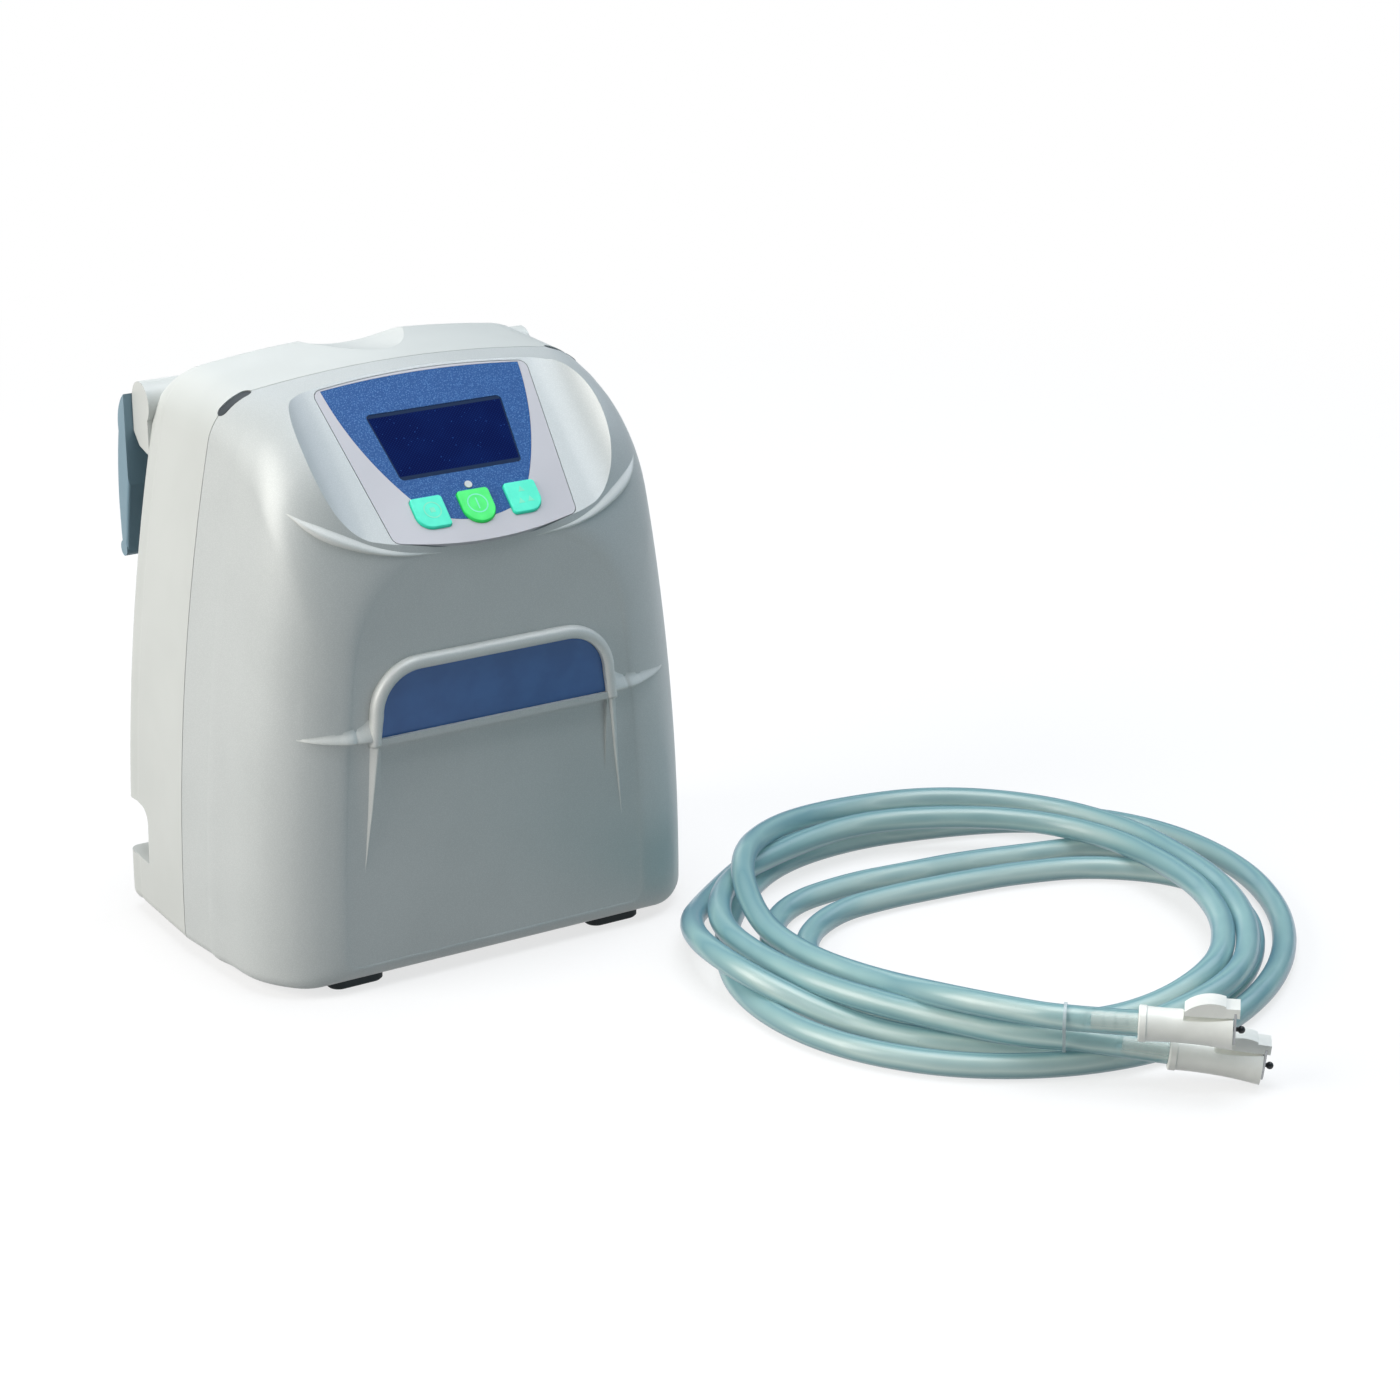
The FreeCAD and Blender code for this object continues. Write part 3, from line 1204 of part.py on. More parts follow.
def make_supply():
    """Power supply: board on the back posts with a transformer, a heat sink and two capacitors."""
    x, y, z = supply_place()
    board = box((x, y + SUPPLY[1] - BOARD_THICK, z), (x + SUPPLY[0], y + SUPPLY[1], z + SUPPLY[2]))
    front = y + SUPPLY[1] - BOARD_THICK + 0.01
    core = box((x + 5, y + 4, z + 6), (x + 5 + SUPPLY_CORE, front, z + 6 + SUPPLY_CORE))
    first = x + 10 + SUPPLY_CORE
    sink = [box((first + SINK_PITCH * k, y + 8, z + 4), (first + SINK_PITCH * k + SINK_FIN, front, z + 30))
            for k in range(3)]
    can_x = x + SUPPLY[0] - 2 * CAPACITOR_R
    cans = [rod(CAPACITOR_R, (can_x, y + 10, z + share * SUPPLY[2]), (can_x, front, z + share * SUPPLY[2]))
            for share in (0.25, 0.65)]
    return fuse(board, core, *(sink + cans))


def motor_y():
    """Depth of the motor axis."""
    return BACK_Y - PUMP_AHEAD


def make_bracket():
    """Sheet bracket on the rails: back plate, motor saddles and the shelf of the pump head."""
    front = bracket_back() - BRACKET_THICK
    back = box((-BRACKET_HALF, front, PUMP_Z - RAIL_BELOW), (BRACKET_HALF, bracket_back(), PUMP_Z + RAIL_ABOVE))
    shelf_z = PUMP_Z + MOTOR_R + 2
    shelf = box((-BRACKET_HALF, motor_y() - HEAD_SIZE[1] / 2, shelf_z), (BRACKET_HALF, front + 0.1, shelf_z + BRACKET_THICK))
    saddles = []
    for x in (MOTOR_X + 12, MOTOR_X + MOTOR_LENGTH - 9):
        cheek = box((x, motor_y() - 6, PUMP_Z - MOTOR_R - 4), (x + 3, front + 0.1, shelf_z + 0.1))
        saddles.append(cheek)
    bracket = fuse(back, shelf, *saddles)
    hole = rod(MOTOR_R + 0.05, (MOTOR_X - 2, motor_y(), PUMP_Z), (MOTOR_X + MOTOR_LENGTH + 2, motor_y(), PUMP_Z))
    return bracket.cut(hole)


def make_motor():
    """Motor can with end bells and a bored shaft seat."""
    y = motor_y()
    can = rod(MOTOR_R, (MOTOR_X, y, PUMP_Z), (MOTOR_X + MOTOR_LENGTH, y, PUMP_Z))
    rims = [edge for edge in can.Edges if edge.BoundBox.XLength < 0.01]
    can = can.makeFillet(1.5, rims)
    bell = rod(MOTOR_R * 0.45, (MOTOR_X - 4, y, PUMP_Z), (MOTOR_X + MOTOR_LENGTH + 2, y, PUMP_Z))
    motor = fuse(can, bell)
    end = MOTOR_X + MOTOR_LENGTH + 2
    return motor.cut(rod(SHAFT_R + SHAFT_FIT, (end - SHAFT_DEEP, y, PUMP_Z), (end + 1, y, PUMP_Z)))


def make_wheel():
    """Flywheel with counterweight cut-out, crank pin and shaft."""
    y = motor_y()
    face = MOTOR_X + MOTOR_LENGTH + 2 + 0.3
    disc = rod(WHEEL_R, (face, y, PUMP_Z), (face + WHEEL_THICK, y, PUMP_Z))
    shaft = rod(SHAFT_R, (face - SHAFT_DEEP + 0.5, y, PUMP_Z), (face + 0.1, y, PUMP_Z))
    pin = rod(CRANK_R, (face + WHEEL_THICK - 0.1, y, PUMP_Z + CRANK_THROW), (face + WHEEL_THICK + 5, y, PUMP_Z + CRANK_THROW))
    wheel = fuse(disc, shaft, pin)
    for turn in (200, 270, 340):
        angle = math.radians(turn)
        hole = (y + CRANK_THROW * 1.3 * math.cos(angle), PUMP_Z + CRANK_THROW * 1.3 * math.sin(angle))
        wheel = wheel.cut(rod(2.6, (face - 1, hole[0], hole[1]), (face + WHEEL_THICK + 1, hole[0], hole[1])))
    return wheel


def head_low():
    """Low face of the pump head, on its shelf."""
    return PUMP_Z + MOTOR_R + 2 + BRACKET_THICK


def make_pump_head():
    """Diaphragm pump head with cooling fins and an outlet stub."""
    width, depth, height = HEAD_SIZE
    y = motor_y()
    low = head_low()
    block = box((-width / 2, y - depth / 2, low), (width / 2, y + depth / 2 - 4, low + height))
    for k in range(4):
        z = low + height - 4 - 5 * k
        block = block.cut(box((-width / 2 - 1, y - depth / 2 - 1, z - 1), (width / 2 + 1, y - depth / 2 + 5, z + 1)))
    y_out, z_out = feed_out()
    stub = rod(INNER_TUBE_R, (width / 2 - 0.5, y_out, z_out), (width / 2 + STUB, y_out, z_out))
    return fuse(block, stub)


def feed_out():
    """Depth and height of the air outlet on the pump head's right side."""
    return motor_y() - HEAD_SIZE[1] / 2 + FEED_IN, head_low() + FEED_UP


def manifold_place():
    """Low corner of the valve manifold on its shelf."""
    return (MANIFOLD_X, BACK_Y - WALL - MANIFOLD[1], MANIFOLD_Z)


def manifold_shelf():
    """Shelf with a front lip for the valve manifold, moulded in the rear shell."""
    x, y, z = manifold_place()
    shelf = box((x - 2, y - 3, z - WALL), (x + MANIFOLD[0] + 2, BACK_Y, z))
    lip = box((x - 2, y - 3, z - 1), (x + MANIFOLD[0] + 2, y - 0.3, z + 3))
    return [shelf, lip]


def valve_xs():
    """Places of the two solenoid valves on the manifold."""
    x = manifold_place()[0]
    return [x + MANIFOLD[0] * share for share in (0.25, 0.75)]


def make_manifold():
    """Valve manifold: drilled block with two solenoid valves and three tube stubs."""
    x, y, z = manifold_place()
    block = box((x, y, z), (x + MANIFOLD[0], y + MANIFOLD[1] - 0.3, z + MANIFOLD[2]))
    top = z + MANIFOLD[2]
    middle = y + MANIFOLD[1] / 2
    valves = [rod(VALVE_R, (vx, middle, top - 0.1), (vx, middle, top + VALVE_HEIGHT)) for vx in valve_xs()]
    caps = [rod(VALVE_R * 0.5, (vx, middle, top), (vx, middle, top + VALVE_HEIGHT + 2)) for vx in valve_xs()]
    stubs = [rod(INNER_TUBE_R, (sx, y - STUB, z + MANIFOLD[2] / 2), (sx, y + 0.5, z + MANIFOLD[2] / 2))
             for sx in list(port_xs()) + [feed_end_x()]]
    return fuse(block, *(valves + caps + stubs))


def feed_end_x():
    """Place of the manifold's feed stub."""
    return (port_xs()[0] + port_xs()[1]) / 2


def bend(before, corner, after):
    """Start, middle and end of the largest tangent arc that two straight runs allow at their corner."""
    into = (corner - before).normalize()
    out = (after - corner).normalize()
    turn = into.getAngle(out)
    reach = BEND_SHARE * min((corner - before).Length, (after - corner).Length)
    middle = corner + (out - into).normalize() * reach * (1 / math.cos(turn / 2) - 1) / math.tan(turn / 2)
    return corner - into * reach, middle, corner + out * reach


def bend_middle(before, corner, after):
    """Middle of the arc at a corner, as plain numbers."""
    return tuple(bend(Vector(*before), Vector(*corner), Vector(*after))[1])


def tube(points, radius):
    """Round solid along straight runs joined by tangent arcs as large as the runs allow."""
    corners = [Vector(*point) for point in points]
    edges = []
    start = corners[0]
    for before, corner, after in zip(corners, corners[1:], corners[2:]):
        leave, middle, join = bend(before, corner, after)
        edges += [Part.LineSegment(start, leave).toShape(), Part.Arc(leave, middle, join).toShape()]
        start = join
    edges.append(Part.LineSegment(start, corners[-1]).toShape())
    path = Part.Wire(edges)
    section = Part.Wire(Part.Circle(corners[0], corners[1] - corners[0], radius).toShape())
    return path.makePipeShell([section], True, True)


def make_air_line(x):
    """Silicone air line from the manifold down to one outlet port."""
    y_top = manifold_place()[1] - STUB
    z_top = manifold_place()[2] + MANIFOLD[2] / 2
    y_low = BAY_Y - PORT_LENGTH - LINE_END
    z_low = port_z()
    ahead = y_low - LINE_CLEAR
    route = [(x, y_top, z_top), (x, ahead, z_top), (x, ahead, z_low), (x, y_low, z_low)]
    return tube(route, INNER_TUBE_R + LINE_WALL)


def make_feed_line():
    """Feed line from the pump head over to the manifold."""
    y, z = feed_out()
    x = feed_end_x()
    z_end = manifold_place()[2] + MANIFOLD[2] / 2
    y_end = manifold_place()[1] - STUB - LINE_END
    route = [(HEAD_SIZE[0] / 2 + STUB + LINE_END, y, z), (x, y, z), (x, y, z_end), (x, y_end, z_end)]
    return tube(route, INNER_TUBE_R + LINE_WALL)


# ================================================================ hoses and what is on them
def laid(shape, place):
    """Move a piece that lies along its own +X to a place with a heading and a slope."""
    start, heading, slope = place
    turn = Rotation(Vector(0, 0, 1), heading).multiply(Rotation(Vector(0, 1, 0), -slope))
    moved = shape.copy()
    moved.Placement = Placement(Vector(*start), turn).multiply(moved.Placement)
    return moved


def along(place, distance):
    """Point on a laid piece's own axis."""
    start, heading, slope = place
    turn = math.radians(heading)
    lean = math.radians(slope)
    ahead = (math.cos(lean) * math.cos(turn), math.cos(lean) * math.sin(turn), math.sin(lean))
    return tuple(start[i] + distance * ahead[i] for i in range(3))


def coupling_end():
    """Mouth of a coupling along its own axis."""
    return BARB_LENGTH + COLLAR + COUPLING_BODY


def button_pocket():
    """Room in a coupling's mouth for the pressed button."""
    half = BUTTON_HALF + LATCH_FIT
    floor = BUTTON_FOOT - LATCH_TRAVEL - LATCH_FIT
    return box((BUTTON_REACH[0] - LATCH_FIT, -half, floor), (coupling_end() + 1, half, 2 * COUPLING_MOUTH_R))


def make_coupling(place):
    """Hose coupling along its own +X: barbs, collar, waisted body, socket and button pocket."""
    pitch = BARB_LENGTH / BARB_COUNT
    rings = [Part.makeCone(BARB_R * BARB_WAIST, BARB_R, pitch, Vector(k * pitch, 0, 0), Vector(1, 0, 0))
             for k in range(BARB_COUNT)]
    root = BARB_LENGTH + COLLAR
    end = coupling_end()
    collar = rod(COLLAR_R, (BARB_LENGTH - 0.1, 0, 0), (root, 0, 0))
    rim = [edge for edge in collar.Edges if edge.BoundBox.XLength < 0.01]
    collar = collar.makeFillet(0.6, rim)
    waist = (root + COUPLING_WAIST, COUPLING_WAIST_R, 0)
    profile = [
        line((root - 0.5, 0, 0), (root - 0.5, COUPLING_START_R, 0)),
        arc((root - 0.5, COUPLING_START_R, 0), waist, (end, COUPLING_MOUTH_R, 0)),
        line((end, COUPLING_MOUTH_R, 0), (end, 0, 0)),
        line((end, 0, 0), (root - 0.5, 0, 0)),
    ]
    body = Part.Face(Part.Wire(profile)).revolve(Vector(0, 0, 0), Vector(1, 0, 0), 360)
    coupling = fuse(rings[0], *(rings[1:] + [collar, body]))
    cuts = [
        rod(SOCKET_R, (end - SOCKET_DEPTH, 0, 0), (end + 1, 0, 0)),
        rod(PORT_AIR_R, (-1, 0, 0), (end, 0, 0)),
        button_pocket(),
    ]
    return laid(cut_all(coupling, cuts), place)


def make_latch(place):
    """Thumb button over the coupling's mouth: a domed pad with a step that overhangs the mouth."""
    low, high = BUTTON_REACH
    middle = (low + high) / 2
    edges = [
        line((high, 0, BUTTON_TOP - 0.6), (high, 0, BUTTON_FOOT)),
        line((high, 0, BUTTON_FOOT), (low, 0, BUTTON_FOOT)),
        line((low, 0, BUTTON_FOOT), (low, 0, BUTTON_FOOT + 1.6)),
        arc((low, 0, BUTTON_FOOT + 1.6), (middle, 0, BUTTON_TOP), (high, 0, BUTTON_TOP - 0.6)),
    ]
    pad = Part.Face(Part.Wire(edges)).extrude(Vector(0, 2 * BUTTON_HALF, 0))
    pad.translate(Vector(0, -BUTTON_HALF, 0))
    step = box((BUTTON_STEP[0], -BUTTON_HALF, BUTTON_STEP_FOOT), (BUTTON_STEP[1], BUTTON_HALF, BUTTON_STEP_TOP))
    button = fuse(pad, step)
    back = latch_back()
    slot = box((back - LATCH_SEAT, -LATCH_HALF - 1, BUTTON_STEP_FOOT - 1),
               (back + LATCH_THICK + LATCH_SEAT, LATCH_HALF + 1, LATCH_TOP + LATCH_SEAT))
    return laid(button.cut(slot), place)


def latch_back():
    """Back face of the latch plate, just off the coupling's mouth."""
    return coupling_end() + LATCH_FIT


def make_latch_plate(place):
    """Metal plate that the button carries down across the mouth, with a long hole."""
    back = latch_back()
    front = back + LATCH_THICK
    plate = fuse(box((back, -LATCH_HALF, LATCH_CENTRE), (front, LATCH_HALF, LATCH_TOP)),
                 rod(LATCH_HALF, (back, 0, LATCH_CENTRE), (front, 0, LATCH_CENTRE)))
    hole = fuse(rod(LATCH_HOLE_R, (back - 1, 0, 0), (front + 1, 0, 0)),
                rod(LATCH_HOLE_R, (back - 1, 0, LATCH_TRAVEL), (front + 1, 0, LATCH_TRAVEL)),
                box((back - 1, -LATCH_HOLE_R, 0), (front + 1, LATCH_HOLE_R, LATCH_TRAVEL)))
    return laid(plate.cut(hole), place)


def make_valve_pin(place):
    """Shut-off pin of a coupling: guide in the socket, stem and ball ahead of the mouth."""
    floor = coupling_end() - SOCKET_DEPTH
    tip = coupling_end() + VALVE_REACH
    guide = rod(SOCKET_R - VALVE_FIT, (floor + 0.1, 0, 0), (floor + VALVE_GUIDE, 0, 0))
    stem = rod(VALVE_PIN_R, (floor + VALVE_GUIDE - 0.5, 0, 0), (tip, 0, 0))
    ball = Part.makeSphere(VALVE_BALL_R, Vector(tip, 0, 0))
    return laid(fuse(guide, stem, ball), place)


def coil_wire(radii, z):
    """Smooth closed wire through radii spaced evenly round the coil's centre."""
    turns = [2 * math.pi * k / len(radii) for k in range(len(radii))]
    curve = Part.BSplineCurve()
    curve.interpolate([Vector(COIL_CENTRE[0] + radius * math.cos(turn), COIL_CENTRE[1] + radius * math.sin(turn), z)
                       for radius, turn in zip(radii, turns)], PeriodicFlag=True)
    return Part.Wire(curve.toShape())


def make_hose_coil():
    """Envelope of the wound pair of hoses: a lower and an upper layer, each open in the middle."""
    rings = []
    for (low, high), outer, inner in COIL_LAYERS:
        ring = Part.Face(coil_wire(outer, low)).extrude(Vector(0, 0, high - low))
        hole = Part.Face(coil_wire(inner, low - 1)).extrude(Vector(0, 0, high - low + 2))
        rings.append(ring.cut(hole))
    coil = rings[0].fuse(rings[1])
    length = TIP_COLLAR + TIP_NOZZLE + TIP_ROOM
    rooms = [laid(rod(TIP_COLLAR_R + TIP_FIT, (0, 0, 0), (length, 0, 0)), tip_place(place)) for place in TIP_PLACES]
    return cut_all(coil, rooms).Solids[0]


def tip_place(place):
    """Start, heading and slope of a hose tip that lies on the floor."""
    (x, y), heading = place
    return (x, y, HOSE_R + HOSE_GAP), heading, 0.0


def barb_sleeve(place):
    """Room inside a hose end for the barbs it is pushed over."""
    return rod(BARB_R + 0.03, along(place, -0.2), along(place, BARB_LENGTH + 1))


def make_lead(route, place):
    """Hose end from the coil's envelope to the collar of its coupling."""
    lead = tube(route + [along(place, BARB_LENGTH - 0.3)], HOSE_R)
    lead = lead.cut(make_hose_coil()).cut(barb_sleeve(place))
    return max(lead.Solids, key=lambda solid: solid.BoundBox.XMax)


def make_tip(place):
    """Male hose tip under the coil: collar, nozzle and a seal groove."""
    end = TIP_COLLAR + TIP_NOZZLE
    collar = rod(TIP_COLLAR_R, (0, 0, 0), (TIP_COLLAR, 0, 0))
    nozzle = rod(TIP_NOZZLE_R, (TIP_COLLAR - 0.1, 0, 0), (end, 0, 0))
    rim = [edge for edge in nozzle.Edges if edge.BoundBox.XMin > end - 0.01]
    tip = fuse(collar, nozzle.makeChamfer(0.8, rim))
    groove_x = TIP_COLLAR + TIP_NOZZLE * 0.6
    groove = rod(TIP_NOZZLE_R + 1, (groove_x, 0, 0), (groove_x + TIP_GROOVE, 0, 0))
    groove = groove.cut(rod(TIP_NOZZLE_R - 0.7, (groove_x - 1, 0, 0), (groove_x + TIP_GROOVE + 1, 0, 0)))
    bore = rod(PORT_AIR_R, (-1, 0, 0), (end + 1, 0, 0))
    return laid(tip.cut(groove).cut(bore), tip_place(place))


def racetrack(first, second, radius):
    """Closed outline round two circles in the local YZ plane."""
    across = second[0] - first[0]
    up = second[1] - first[1]
    gap = math.hypot(across, up)
    side = (-up / gap * radius, across / gap * radius)
    tip = (across / gap * radius, up / gap * radius)

    def at(centre, offset):
        """Point of the local plane."""
        return (0, centre[0] + offset[0], centre[1] + offset[1])

    back = (-side[0], -side[1])
    edges = [
        line(at(first, side), at(second, side)),
        arc(at(second, side), at(second, tip), at(second, back)),
        line(at(second, back), at(first, back)),
        arc(at(first, back), at(first, (-tip[0], -tip[1])), at(first, side)),
    ]
    return Part.Face(Part.Wire(edges))


def plane_meet(start, end, origin, ahead):
    """Where a straight run crosses an upright plane."""
    into = [(origin[i] - start[i]) * ahead[i] for i in range(2)]
    run = [(end[i] - start[i]) * ahead[i] for i in range(2)]
    share = sum(into) / sum(run)
    return tuple(start[i] + share * (end[i] - start[i]) for i in range(3))


def make_tie():
    """Clear band that holds the two hose ends together just before the couplings."""
    heading = UPPER_PLACE[1]
    ahead = (math.cos(math.radians(heading)), math.sin(math.radians(heading)))
    upper = bend_middle(UPPER_ROUTE[-2], UPPER_ROUTE[-1], along(UPPER_PLACE, BARB_LENGTH - 0.3))
    lower = plane_meet(LOWER_ROUTE[-3], LOWER_ROUTE[-2], upper, ahead)
    across = (lower[0] - upper[0]) * -ahead[1] + (lower[1] - upper[1]) * ahead[0]
    places = ((across, lower[2] - upper[2]), (0.0, 0.0))
    inner = HOSE_R + TIE_FIT
    band = racetrack(*places, inner + TIE_THICK).extrude(Vector(TIE_WIDTH, 0, 0))
    band = band.cut(racetrack(*places, inner).extrude(Vector(TIE_WIDTH + 2, 0, 0)))
    return laid(band, (upper, heading, 0.0))


# ================================================================ write every node
def main():
    """Build and write every piece."""
    os.makedirs("parts", exist_ok=True)
    save("front_shell", make_front_shell())
    save("rear_shell", make_rear_shell())
    save("control_bezel", make_bezel())
    save("panel_overlay", make_overlay())
    save("display_window", make_window())
    save("display_module", make_lcd_module())
    save("keypad_board", make_keypad_board())
    for name, x in KEY_NAMES.items():
        save(name, make_key(x))
    save("status_lens", make_status_lens())
    save("badge_plate", make_badge())
    save("seam_plug_left", make_seam_plug(-1))
    save("seam_plug_right", make_seam_plug(1))
    for name in foot_places():
        save(name, make_foot(name))
    save("bed_hook", make_bed_hook())
    save("hook_pin_left", make_hook_pin(-1))
    save("hook_pin_right", make_hook_pin(1))
    save("housing_screws", *make_housing_screws())
    for name, x in zip(("outlet_port_left", "outlet_port_right"), port_xs()):
        save(name, make_outlet_port(x))
    save("mains_inlet", make_mains_inlet())
    save("inlet_pins", *make_inlet_pins())
    save("main_board", make_main_board())
    save("board_screws", *make_board_screws())
    save("buzzer", make_buzzer())
    save("battery_pack", make_battery())
    save("power_supply", make_supply())
    save("compressor_bracket", make_bracket())
    save("compressor_motor", make_motor())
    save("compressor_wheel", make_wheel())
    save("compressor_head", make_pump_head())
    save("valve_manifold", make_manifold())
    for name, x in zip(("air_line_left", "air_line_right"), port_xs()):
        save(name, make_air_line(x))
    save("air_line_feed", make_feed_line())
    save("hose_coil", make_hose_coil())
    for name, route, place in (("upper", UPPER_ROUTE, UPPER_PLACE), ("lower", LOWER_ROUTE, LOWER_PLACE)):
        save("hose_end_" + name, make_lead(route, place))
        save("coupling_" + name, make_coupling(place))
        save("latch_" + name, make_latch(place))
        save("latch_plate_" + name, make_latch_plate(place))
        save("valve_pin_" + name, make_valve_pin(place))
    for name, place in zip(("hose_tip_left", "hose_tip_right"), TIP_PLACES):
        save(name, make_tip(place))
    save("hose_tie", make_tie())


main()
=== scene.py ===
"""Looks of a compression therapy pump and its two air hoses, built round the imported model."""
import logging
import math
from dataclasses import dataclass, field
from enum import Enum
from typing import Any, Sequence, Union

import bmesh
import bpy
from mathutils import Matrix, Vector
from mathutils.bvhtree import BVHTree


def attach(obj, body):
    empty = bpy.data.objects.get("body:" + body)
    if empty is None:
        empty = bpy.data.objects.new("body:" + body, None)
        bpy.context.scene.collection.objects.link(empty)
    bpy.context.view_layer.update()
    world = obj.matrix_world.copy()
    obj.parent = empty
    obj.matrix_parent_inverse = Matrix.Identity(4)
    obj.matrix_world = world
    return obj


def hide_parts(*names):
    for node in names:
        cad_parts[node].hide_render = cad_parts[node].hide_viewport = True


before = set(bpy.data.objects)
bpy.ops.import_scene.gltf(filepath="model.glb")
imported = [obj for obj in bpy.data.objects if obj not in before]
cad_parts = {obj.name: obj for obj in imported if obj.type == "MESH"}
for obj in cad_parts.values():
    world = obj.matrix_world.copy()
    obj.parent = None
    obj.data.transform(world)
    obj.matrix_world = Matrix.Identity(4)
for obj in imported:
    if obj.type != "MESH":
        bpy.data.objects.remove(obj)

LOG = logging.getLogger("pump")
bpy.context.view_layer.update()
MM = 0.001

Number = Union[int, float]
Term = Union["Value", Number]
Pair = tuple[float, float]
Triple = tuple[float, float, float]
Colour = tuple[float, float, float, float]

WHITE: Colour = (1.0, 1.0, 1.0, 1.0)


class Body(Enum):
    """The bodies that the added pieces ride on."""

    PUMP = "pump"
    KEY_LEFT = "key_left_body"
    KEY_CENTRE = "key_centre_body"
    KEY_RIGHT = "key_right_body"


# ---------------------------------------------------------------- materials
def shade(red: int, green: int, blue: int) -> Colour:
    """A display colour as linear light.

    Args:
        red: Red from 0 to 255.
        green: Green from 0 to 255.
        blue: Blue from 0 to 255.

    Returns:
        The linear colour with full alpha.
    """
    def linear(value: int) -> float:
        """One channel as linear light."""
        part = value / 255
        return part / 12.92 if part <= 0.04045 else ((part + 0.055) / 1.055) ** 2.4

    return (linear(red), linear(green), linear(blue), 1.0)


class Value:
    """A number that varies over a surface, with the usual operators adding Math nodes."""

    def __init__(self, shader: "Shader", socket: bpy.types.NodeSocket) -> None:
        """Wraps a socket of a shader's tree."""
        self.shader = shader
        self.socket = socket

    def _math(self, operation: str, *terms: Term) -> "Value":
        """Adds one Math node.

        Args:
            operation: The node's operation.
            terms: Its operands in order.

        Returns:
            The result.
        """
        node = self.shader.node("ShaderNodeMath", {"operation": operation}, dict(enumerate(terms)))
        return Value(self.shader, node.outputs[0])

    def __add__(self, other: Term) -> "Value":
        """self + other."""
        return self._math("ADD", self, other)

    __radd__ = __add__

    def __sub__(self, other: Term) -> "Value":
        """self - other."""
        return self._math("SUBTRACT", self, other)

    def __rsub__(self, other: Number) -> "Value":
        """other - self."""
        return self._math("SUBTRACT", other, self)

    def __mul__(self, other: Term) -> "Value":
        """self * other."""
        return self._math("MULTIPLY", self, other)

    __rmul__ = __mul__

    def __truediv__(self, other: Term) -> "Value":
        """self / other."""
        return self._math("DIVIDE", self, other)

    def __abs__(self) -> "Value":
        """abs(self)."""
        return self._math("ABSOLUTE", self)

    def sine(self) -> "Value":
        """The sine of self in radians."""
        return self._math("SINE", self)

    def largest(self, other: "Value") -> "Value":
        """The larger of two."""
        return self._math("MAXIMUM", self, other)

    def above(self, low: float, high: float) -> "Value":
        """A smooth mask from 0 at low to 1 at high.

        Args:
            low: Where the mask starts.
            high: Where it is full.

        Returns:
            The mask.
        """
        settings = {"interpolation_type": "SMOOTHSTEP"}
        values = {"Value": self, "From Min": low, "From Max": high, "To Min": 0.0, "To Max": 1.0}
        ranged = self.shader.node("ShaderNodeMapRange", settings, values)
        return Value(self.shader, ranged.outputs[0])


class Tree:
    """A node tree, with one way of adding nodes to it."""

    def __init__(self, tree: bpy.types.NodeTree) -> None:
        """Empties a tree and keeps it."""
        self.tree = tree
        self.tree.nodes.clear()

    def node(self, kind: str, settings: dict[str, Any] | None = None,
             values: dict[Any, Any] | None = None) -> bpy.types.Node:
        """Adds a node.

        Args:
            kind: The node's type.
            settings: Its own properties, set first; "stops" holds a ramp's (place, colour) pairs.
            values: What its inputs get: numbers, colours, sockets or Values, by name or index.

        Returns:
            The node.
        """
        made = self.tree.nodes.new(kind)
        for key, setting in (settings or {}).items():
            if key == "stops":
                self._fill_ramp(made.color_ramp, setting)
            else:
                setattr(made, key, setting)
        for key, value in (values or {}).items():
            self.feed(made.inputs[key], value)
        return made

    @staticmethod
    def _fill_ramp(ramp: bpy.types.ColorRamp, stops: Sequence[tuple[float, Colour]]) -> None:
        """Sets a ramp's stops.

        Args:
            ramp: The ramp.
            stops: Its (place, colour) pairs in order.
        """
        while len(ramp.elements) < len(stops):
            ramp.elements.new(1.0)
        for element, (place, colour) in zip(ramp.elements, stops):
            element.position = place
            element.color = colour

    def feed(self, socket: bpy.types.NodeSocket, value: Any) -> None:
        """Sets or links an input.

        Args:
            socket: The input.
            value: A number, colour, socket or Value.
        """
        if isinstance(value, Value):
            self.tree.links.new(value.socket, socket)
        elif isinstance(value, bpy.types.NodeSocket):
            self.tree.links.new(value, socket)
        else:
            socket.default_value = value


